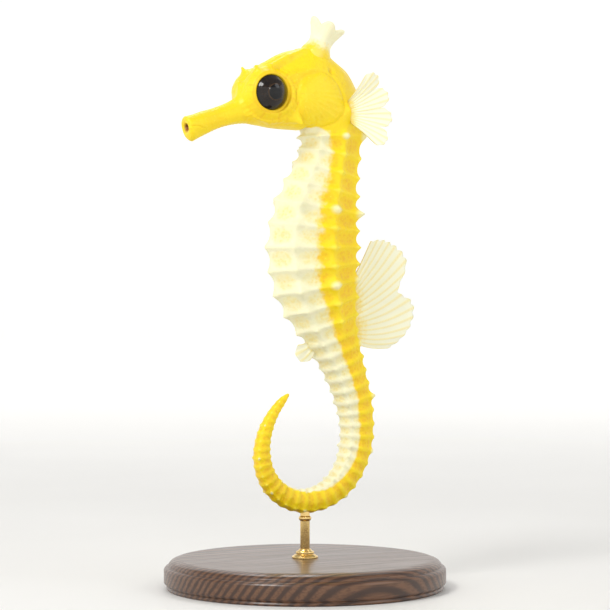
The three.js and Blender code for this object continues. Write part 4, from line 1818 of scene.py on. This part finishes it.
def spun_profile(mesh: BMesh, profile: list[Pair], segments: int) -> None:
    """Spins a profile of radii and heights round the z axis into a closed solid.

    Args:
        mesh: The mesh to make it in.
        profile: Radii and heights, from one pole to the other, both on the axis.
        segments: Steps in the full turn.
    """
    chain = [mesh.verts.new((radius, 0.0, height)) for radius, height in profile]
    edges = [mesh.edges.new(pair) for pair in zip(chain, chain[1:])]
    bmesh.ops.spin(
        mesh,
        geom=chain + edges,
        cent=(0.0, 0.0, 0.0),
        axis=(0.0, 0.0, 1.0),
        angle=2 * math.pi,
        steps=segments,
        use_merge=True,
    )
    bmesh.ops.remove_doubles(mesh, verts=mesh.verts, dist=1e-5)
    bmesh.ops.recalc_face_normals(mesh, faces=mesh.faces)


def curve_through(knots: list[Pair], steps: int) -> list[Pair]:
    """Points along a smooth curve through the knots of a profile.

    Args:
        knots: Radii and heights.
        steps: Points to each pair of knots.

    Returns:
        The points, with both ends kept.
    """
    values = np.array(knots)
    padded = np.vstack([2 * values[0] - values[1], values, 2 * values[-1] - values[-2]])
    points = []
    for first in range(len(values) - 1):
        before, start, end, after = padded[first : first + 4]
        for share in np.arange(steps) / steps:
            bend = (
                2 * start
                + (end - before) * share
                + (2 * before - 5 * start + 4 * end - after) * share**2
                + (3 * start - before - 3 * end + after) * share**3
            )
            points.append((max(bend[0] / 2, 0.0), bend[1] / 2))
    points.append(tuple(values[-1]))
    points[0] = tuple(values[0])
    return points


@dataclass
class Crown:
    """The coronet, a bony crown of five blunt points round a shallow cup.

    Attributes:
        body: The body that it stands on.
        at: Where it stands along the spine.
        lean: How far it leans to the rear, in degrees.
        profile: Its outline from the foot's pole over the rim into the cup.
        heights: How far each point stands up, in turn.
        flare: How far the points spread, as a share of the radius.
        ribs: How many fine ribs run up it.
        rib_height: Their height, as a share of the radius.
        segments: Steps round it.
    """

    body: Body
    at: float = 27.6
    lean: float = 12.0
    profile: tuple[Pair, ...] = (
        (0.0, -2.2), (2.6, -2.1), (3.1, -1.2), (2.95, -0.1), (2.5, 0.9), (2.25, 2.0),
        (2.4, 3.2), (2.85, 4.4), (3.15, 5.1), (2.98, 5.55), (2.5, 5.5), (1.95, 4.95),
        (1.15, 4.5), (0.0, 4.35),
    )
    heights: tuple[float, ...] = (1.1, 0.85, 1.0, 1.0, 0.85)
    flare: float = 0.17
    ribs: int = 35
    rib_height: float = 0.012
    segments: int = 120

    def build(self, finish: Material) -> Object:
        """Builds the crown.

        Args:
            finish: Its material.

        Returns:
            The piece.
        """
        mesh = bmesh.new()
        level = mesh.verts.layers.float.new("level")
        reach = mesh.verts.layers.float.new("reach")
        spun_profile(mesh, curve_through(list(self.profile), 5), self.segments)
        _, along, up = self.body.axes(self.at)
        foot = self.body.point(self.at, float(self.body.outline(self.at)["back"]), 0.0)
        lean = math.radians(self.lean)
        axis = up * math.cos(lean) + along * math.sin(lean)
        turned = frame_of(axis, -along)
        count = len(self.heights)
        for vert in mesh.verts:
            radius = math.hypot(vert.co.x, vert.co.y)
            turn = math.atan2(vert.co.y, vert.co.x)
            lobe = turn * count / (2 * math.pi)
            nearest = self.heights[round(lobe) % count]
            peak = (0.5 + 0.5 * math.cos(turn * count)) ** 0.6
            rise = float(smoothstep(vert.co.z, 0.6, 5.2))
            outer = float(smoothstep(radius, 1.3, 2.6))
            rib = 0.06 * (peak - 0.4) + self.rib_height * math.cos(turn * self.ribs) * rise
            spread = 1 + self.flare * (1.3 * peak * nearest - 0.45) * rise * outer + rib
            height = vert.co.z + 1.1 * (peak * nearest - 0.45) * rise**2 * outer
            local = np.array([vert.co.x * spread, vert.co.y * spread, height])
            # The level is low in the cup and between the points, where the finish paints shade, and high on
            # the points, where it paints a highlight.
            vert[level] = 0.25 + 0.75 * outer * (0.35 + 0.65 * peak)
            vert[reach] = (vert.co.z + 0.5) / 6.5
            vert.co = (foot + local @ turned) * MM
        bmesh.ops.recalc_face_normals(mesh, faces=mesh.faces)
        return finished(mesh, "crown", finish, "coronet", "coronet")


@dataclass
class Eyeball:
    """One eye: a flattened ball with a slightly raised cornea.

    Attributes:
        body: The body that it belongs to.
        form: The head's form, which holds the eyes' place and size.
        side: -1 for the animal's left and 1 for its right.
        cornea: How far the cornea stands out over the iris.
        cornea_rise: The radii where its rise starts and where it is whole.
        limbus: The depth of the faint groove round the cornea.
        limbus_radius: That groove's radius.
        limbus_width: Its half width.
        steps: Steps from its front to its back.
        segments: Steps round it.
    """

    body: Body
    form: HeadForm
    side: int
    cornea: float = 0.18
    cornea_rise: Pair = (2.8, 0.6)
    limbus: float = 0.05
    limbus_radius: float = 2.98
    limbus_width: float = 0.16
    steps: int = 42
    segments: int = 72

    def centre(self) -> Array:
        """The ball's centre, in millimetres."""
        at, up, out = self.form.eye
        return self.body.point(at, up, -self.side * out)

    def build(self, finish: Material) -> Object:
        """Builds the eye.

        Args:
            finish: Its material.

        Returns:
            The piece.
        """
        mesh = bmesh.new()
        turns = np.linspace(0, math.pi, self.steps + 1)
        away = self.form.eye_radius * np.sin(turns)
        away[[0, -1]] = 0.0
        groove = self.limbus * hump(away - self.limbus_radius, self.limbus_width)
        raised = self.cornea * smoothstep(away, *self.cornea_rise) - groove
        height = self.form.eye_depth * np.cos(turns) + np.where(turns < math.pi / 2, raised, 0.0)
        spun_profile(mesh, list(zip(away, height)), self.segments)
        turned = frame_of(np.array([0.0, float(self.side), 0.0]), np.array([1.0, 0.0, 0.0]))
        centre = self.centre()
        for vert in mesh.verts:
            vert.co = (centre + np.array(vert.co) @ turned) * MM
        bmesh.ops.recalc_face_normals(mesh, faces=mesh.faces)
        name = "left" if self.side < 0 else "right"
        return finished(mesh, f"eyeball_{name}", finish, "eye", f"eye_{name}")


@dataclass
class Fin:
    """A fin: a sheet over fine rays that spread from its root, with two faces and a closed edge.

    Attributes:
        body: The body that it grows from.
        name: The piece's name.
        node: The frame's node that it replaces.
        rays: How many rays it has.
        columns: Columns of vertices from one ray to the next.
        rows: Rows of vertices from the root to the edge.
        membrane: The thickness between the rays.
        ray: How much thicker a ray is at its root.
        taper: How much thinner the membrane and the rays are at the edge, as shares.
        wave: How far the edge waves to either side.
        waves: How many waves it has.
        scallop: How far the edge draws in between the rays, as a share of the length.
    """

    body: Body
    name: str
    node: str
    rays: int
    columns: int = 8
    rows: int = 36
    membrane: float = 0.2
    ray: float = 0.34
    taper: Pair = (0.55, 0.7)
    wave: float = 0.45
    waves: float = 2.5
    scallop: float = 0.03

    def sheet(self, share: Array, reach: Array) -> tuple[Array, Array]:
        """The sheet's middle and the directions across it, which each kind of fin lays out."""
        raise NotImplementedError

    def edge_share(self, share: Array) -> Array:
        """How much of the full length the edge reaches between the rays."""
        return 1 - self.scallop * (1 - np.abs(np.cos(math.pi * share * (self.rays - 1))))

    def ripple(self, share: Array, reach: Array) -> Array:
        """How far the sheet waves to the side, in millimetres."""
        return self.wave * np.sin(2 * math.pi * self.waves * share + 0.8) * reach**2

    def build(self, finish: Material) -> Object:
        """Builds the fin.

        Args:
            finish: Its material.

        Returns:
            The piece.
        """
        mesh = bmesh.new()
        column = mesh.verts.layers.int.new("column")
        step = mesh.verts.layers.int.new("step")
        reach_layer = mesh.verts.layers.float.new("reach")
        level_layer = mesh.verts.layers.float.new("level")
        shares = np.linspace(0, 1, (self.rays - 1) * self.columns + 1)
        reaches = np.linspace(0, 1, self.rows + 1)
        points, normals = self.sheet(shares[None, :], reaches[:, None])
        row = [mesh.verts.new(point * MM) for point in points[0]]
        for index, vert in enumerate(row):
            vert[column] = index
        edges = [mesh.edges.new(pair) for pair in zip(row, row[1:])]
        for index in range(1, self.rows + 1):
            made = bmesh.ops.extrude_edge_only(mesh, edges=edges)["geom"]
            edges = [item for item in made if isinstance(item, BMEdge)]
            for vert in (item for item in made if isinstance(item, BMVert)):
                vert[step] = index
                vert.co = points[index, vert[column]] * MM
        first = list(mesh.verts)
        made = bmesh.ops.extrude_face_region(mesh, geom=list(mesh.faces), use_keep_orig=True)["geom"]
        second = [item for item in made if isinstance(item, BMVert)]
        ridge = (0.5 + 0.5 * np.cos(2 * math.pi * shares * (self.rays - 1))) ** 2.2
        reach = reaches[:, None]
        thick = self.membrane * (1 - self.taper[0] * reach) + self.ray * ridge * (1 - self.taper[1] * reach)
        for verts, way in ((first, 0.5), (second, -0.5)):
            for vert in verts:
                place = vert[step], vert[column]
                vert.co += Vector(normals[place] * thick[place] * way * MM)
                vert[reach_layer] = reaches[vert[step]]
                vert[level_layer] = ridge[vert[column]]
        bmesh.ops.recalc_face_normals(mesh, faces=mesh.faces)
        bake = mesh.loops.layers.uv.new("OFBake")
        beyond = set(second)
        for face in mesh.faces:
            shift = 0.5 if any(vert in beyond for vert in face.verts) else 0.0
            for corner in face.loops:
                across, out = shares[corner.vert[column]], reaches[corner.vert[step]]
                corner[bake].uv = (0.01 + shift + 0.48 * across, 0.01 + 0.98 * out)
        return finished(mesh, self.name, finish, "fin", self.node)


@dataclass
class MedianFin(Fin):
    """A fan in the body's middle plane.

    Attributes:
        side: 1 for the back and -1 for the belly.
        rings: The first and last rings that it stands on.
        height: Its greatest height.
        spread: The angle from its first ray to its last, in degrees.
        lean: How far its middle leans towards the tail, in degrees.
        sunk: How far its root goes into the body.
        notch: How deep the notch is that parts its edge into two lobes.
        curve: How far the rays bend towards the tail, as a share of their length.
    """

    side: int = 1
    rings: Pair = (9.2, 12.4)
    height: float = 17.0
    spread: float = 80.0
    lean: float = -8.0
    sunk: float = 1.2
    notch: float = 0.28
    curve: float = 0.05

    def sheet(self, share: Array, reach: Array) -> tuple[Array, Array]:
        """The fan's middle and the directions across it.

        Args:
            share: From 0 at the first ray to 1 at the last, by column.
            reach: From 0 at the root to 1 at the edge, by row.

        Returns:
            The points in millimetres and the unit normals, by row and column.
        """
        at = self.body.at_ring(self.rings[0] + (self.rings[1] - self.rings[0]) * share)
        place, along, up = self.body.axes(at)
        depth = self.body.outline(at)["back" if self.side > 0 else "belly"] - self.sunk
        turn = np.radians(self.lean + self.spread * (share - 0.5))
        lobes = np.sin(math.pi * (0.2 + 0.64 * share)) - self.notch * hump(share - 0.52, 0.1)
        length = (self.height * lobes + self.sunk) * self.edge_share(share)
        cosine, sine = np.cos(turn)[..., None], np.sin(turn)[..., None]
        outward = self.side * up * cosine + along * sine
        across = along * cosine - self.side * up * sine
        bend = self.curve * length * np.sin(math.pi * reach) * (0.4 + share)
        root = place + self.side * up * depth[..., None]
        points = root + outward * (length * reach)[..., None] + across * bend[..., None]
        points = points + LEFT * self.ripple(share, reach)[..., None]
        return points, np.broadcast_to(LEFT, points.shape)


@dataclass
class PectoralFin(Fin):
    """A small fan behind the cheek, spread to the side.

    Attributes:
        side: -1 for the animal's left and 1 for its right.
        at: Where its root's middle is along the spine.
        angle: Its root's angle from the back's midline, in degrees.
        length: Its length.
        spread: The angle from its first ray to its last, in degrees.
        root_height: The height of its root.
        flare: How far it turns out from the side, in degrees.
        lobes: How many lobes its edge has.
        lobe_depth: How deep the notches between them are, as a share of the length.
        sunk: How far its root goes into the body.
        bow: How far it bows.
        along_at: The place along the spine whose direction the fan's middle takes.
    """

    side: int = -1
    at: float = 34.4
    angle: float = 74.0
    length: float = 8.4
    spread: float = 128.0
    root_height: float = 4.6
    flare: float = 34.0
    lobes: int = 4
    lobe_depth: float = 0.26
    sunk: float = 0.85
    bow: float = 0.8
    along_at: float = 23.4

    def sheet(self, share: Array, reach: Array) -> tuple[Array, Array]:
        """The fan's middle and the directions across it.

        Args:
            share: From 0 at the first ray to 1 at the last, by column.
            reach: From 0 at the root to 1 at the edge, by row.

        Returns:
            The points in millimetres and the unit normals, by row and column.
        """
        shape = self.body.outline(self.at)
        turn = math.radians(self.angle)
        back, half = float(shape["back"]), float(shape["half"])
        middle = self.body.point(self.at, back * math.cos(turn), -self.side * half * math.sin(turn))
        _, along, up = self.body.axes(self.along_at)
        fan = np.radians(self.spread * (0.5 - share))
        cosine, sine = np.cos(fan)[..., None], np.sin(fan)[..., None]
        flare = math.radians(self.flare)
        outward = np.array([0.0, float(self.side), 0.0])
        direction = (along * cosine + up * sine) * math.cos(flare) + outward * math.sin(flare)
        normals = unit(np.cross(direction, along * sine - up * cosine)) * self.side
        lobe = 1 - self.lobe_depth * (1 - np.sqrt(np.abs(np.sin(self.lobes * math.pi * share))))
        length = (self.length * lobe + self.sunk) * self.edge_share(share)
        root = middle + up * (self.root_height * (0.5 - share))[..., None] - direction * self.sunk
        bow = self.bow * np.sin(math.pi * reach * 0.7) + self.ripple(share, reach)
        points = root + direction * (length * reach)[..., None] + normals * bow[..., None]
        return points, np.broadcast_to(normals, points.shape)


# ---- stand and studio


@dataclass
class Turned:
    """A turned part of the stand, round the z axis.

    Attributes:
        name: The piece's name.
        node: The frame's node that it replaces.
        slot: Its material slot.
        profile: Radii and heights, from pole to pole.
        bevel: The rounding of its corners.
        segments: Steps round it.
        sharp: The least angle at a corner that is rounded, in degrees.
    """

    name: str
    node: str
    slot: str
    profile: tuple[Pair, ...]
    bevel: float = 0.12
    segments: int = 128
    sharp: float = 14.0

    def build(self, finish: Material) -> Object:
        """Builds the part.

        Args:
            finish: Its material.

        Returns:
            The piece.
        """
        mesh = bmesh.new()
        spun_profile(mesh, list(self.profile), self.segments)
        around = [
            edge
            for edge in mesh.edges
            if abs(edge.verts[0].co.z - edge.verts[1].co.z) < 1e-6
            and abs(edge.verts[0].co.xy.length - edge.verts[1].co.xy.length) < 1e-4
            and edge.calc_face_angle(0.0) > math.radians(self.sharp)
        ]
        rounding = {"offset": self.bevel, "segments": 3, "profile": 0.5, "affect": "EDGES", "material": -1}
        bmesh.ops.bevel(mesh, geom=around, clamp_overlap=True, **rounding)
        flats = [face for face in mesh.faces if len(face.verts) == 3]
        bmesh.ops.inset_region(mesh, faces=flats, thickness=min(self.bevel, 0.1), use_even_offset=True)
        bmesh.ops.scale(mesh, vec=(MM, MM, MM), verts=mesh.verts)
        bmesh.ops.recalc_face_normals(mesh, faces=mesh.faces)
        return finished(mesh, self.name, finish, self.slot, self.node)


@dataclass
class Stand:
    """The display stand: a turned base, a collar and a rod whose end is hidden in the tail.

    Attributes:
        base: The base's radii and heights, from pole to pole.
        collar: The collar's.
    """

    base: tuple[Pair, ...] = (
        (0.0, 0.0), (27.3, 0.0), (27.6, 0.35), (27.3, 0.75), (28.0, 1.35), (28.0, 3.9),
        (27.7, 4.35), (27.1, 4.6), (27.1, 4.95), (26.6, 5.5), (25.7, 5.85), (24.6, 6.0),
        (0.0, 6.0),
    )
    collar: tuple[Pair, ...] = (
        (0.0, 6.0), (2.6, 6.0), (2.6, 6.35), (2.3, 6.5), (2.1, 6.7), (1.75, 6.85), (1.85, 7.1),
        (1.75, 7.35), (1.35, 7.5), (1.2, 7.8), (0.0, 7.8),
    )

    def build(self, wood: Material, brass: Material) -> list[Object]:
        """Builds the stand.

        Args:
            wood: The base's material.
            brass: The collar's and the rod's.

        Returns:
            The three pieces.
        """
        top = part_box("stand_rod")[1].z / MM
        rod = (
            (0.0, 3.4), (0.95, 3.4), (0.95, top - 3.3), (1.2, top - 3.1), (1.28, top - 2.8),
            (1.2, top - 2.5), (0.95, top - 2.3), (0.95, top - 0.35), (0.7, top), (0.0, top),
        )
        return [
            Turned("base", "stand_base", "base", self.base).build(wood),
            Turned("collar", "stand_collar", "rod", self.collar, 0.06, 72).build(brass),
            Turned("rod", "stand_rod", "rod", rod, 0.05, 48).build(brass),
        ]


@dataclass(frozen=True)
class Lamp:
    """A round soft lamp.

    Attributes:
        name: Its name.
        place: Its place in metres.
        size: Its width in metres.
        power: Its power in watts.
        colour: The colour of its light.
    """

    name: str
    place: Triple
    size: float
    power: float
    colour: Triple = (1.0, 1.0, 1.0)


@dataclass
class Studio:
    """A pale floor that sweeps up at the back, soft lamps and the camera.

    Attributes:
        azimuth: The camera's direction in degrees, 0 looking along +Y.
        distance: Its distance from the model.
        target: The place that it looks at.
        rise: How far it stands above that.
        lens: Its focal length in millimetres.
        world: The brightness all round.
        floor: The radius of the flat floor, in metres.
        sweep: The radius of the sweep up from it.
        wall: The height of the wall round it.
        lamps: The lamps.
    """

    azimuth: float = -30.0
    distance: float = 0.52
    target: Triple = (0.0, 0.0, 0.0562)
    rise: float = 0.012
    lens: float = 155.0
    world: float = 0.43
    floor: float = 0.8
    sweep: float = 0.5
    wall: float = 0.8
    lamps: tuple[Lamp, ...] = (
        Lamp("key", (-0.36, -0.14, 0.44), 0.2, 1.36, (1.0, 0.99, 0.97)),
        Lamp("spark", (-0.14, -0.46, 0.30), 0.06, 0.10),
        Lamp("fill", (0.36, -0.40, 0.46), 0.3, 0.4, (0.98, 0.99, 1.0)),
        Lamp("back", (0.16, 0.32, 0.48), 0.25, 0.6),
    )

    def build(self) -> None:
        """Sets up the floor, the light and the camera."""
        self._floor()
        self._light()
        data = bpy.data.cameras.new("camera")
        data.lens = self.lens
        turn = math.radians(self.azimuth)
        away = Vector((math.sin(turn) * self.distance, -math.cos(turn) * self.distance, self.rise))
        camera = bpy.data.objects.new("camera", data)
        self._aim(camera, Vector(self.target) + away)
        bpy.context.scene.camera = camera

    def _light(self) -> None:
        """Sets up the lamps and the light all round."""
        for lamp in self.lamps:
            data = bpy.data.lights.new(lamp.name, "AREA")
            data.shape = "DISK"
            data.size = lamp.size
            data.energy = lamp.power
            data.color = lamp.colour
            self._aim(bpy.data.objects.new(lamp.name, data), Vector(lamp.place))
        world = bpy.data.worlds.new("studio")
        world.use_nodes = True
        background = world.node_tree.nodes["Background"]
        background.inputs["Color"].default_value = (1.0, 0.995, 0.985, 1.0)
        background.inputs["Strength"].default_value = self.world
        bpy.context.scene.world = world
        bpy.context.scene.view_settings.view_transform = "Standard"

    def _aim(self, thing: Object, place: Vector) -> None:
        """Puts a lamp or camera in the scene, aimed at the model.

        Args:
            thing: Its object.
            place: Its place in metres.
        """
        thing.location = place
        thing.rotation_euler = (Vector(self.target) - place).to_track_quat("-Z", "Y").to_euler()
        bpy.context.scene.collection.objects.link(thing)

    def _floor(self) -> None:
        """Makes the floor, a wide disc that sweeps up into a low wall all round."""
        mesh = bmesh.new()
        turns = np.linspace(0, math.pi / 2, 13)
        profile = [(0.0, 0.0)]
        profile += [
            (self.floor + self.sweep * math.sin(turn), self.sweep * (1 - math.cos(turn))) for turn in turns
        ]
        profile.append((self.floor + self.sweep, self.wall))
        spun_profile(mesh, profile, 96)
        for face in mesh.faces:
            if face.normal.z < 0 or face.normal.dot(face.calc_center_median()) > 0:
                face.normal_flip()
        floor = smooth_object(mesh, "floor", FloorFinish().material())


def main() -> None:
    """Builds the animal, its stand and the studio, and reports each piece."""
    logging.basicConfig(level=logging.INFO, format="%(name)s: %(message)s")
    body = Body()
    form = HeadForm()
    eyes = [Eyeball(body, form, side) for side in (-1, 1)]
    centre = tuple(eyes[0].centre())
    wet = EyeFinish(centre=centre).material()
    membrane = FinFinish().material()
    anal = {"height": 3.6, "spread": 50.0, "lean": 15.0, "sunk": 0.8, "notch": 0.0, "wave": 0.08}
    fins = [
        MedianFin(body, "fin_dorsal", "dorsal_fin", 17),
        MedianFin(body, "fin_anal", "anal_fin", 4, side=-1, rings=(11.2, 11.8), **anal),
        PectoralFin(body, "fin_pectoral_left", "pectoral_fin_left", 15, wave=0.2, side=-1),
        PectoralFin(body, "fin_pectoral_right", "pectoral_fin_right", 15, wave=0.2, side=1),
    ]
    pieces = [
        Skin(body, form).build(SkinFinish(eye=centre).material()),
        Crown(body).build(HornFinish().material()),
        *(eye.build(wet) for eye in eyes),
        *(fin.build(membrane) for fin in fins),
        *Stand().build(WalnutFinish().material(), BrassFinish().material()),
    ]
    for piece in pieces:
        LOG.info("%s: %d faces", piece.name, len(piece.data.polygons))
    Studio().build()


if __name__ == "__main__":
    main()
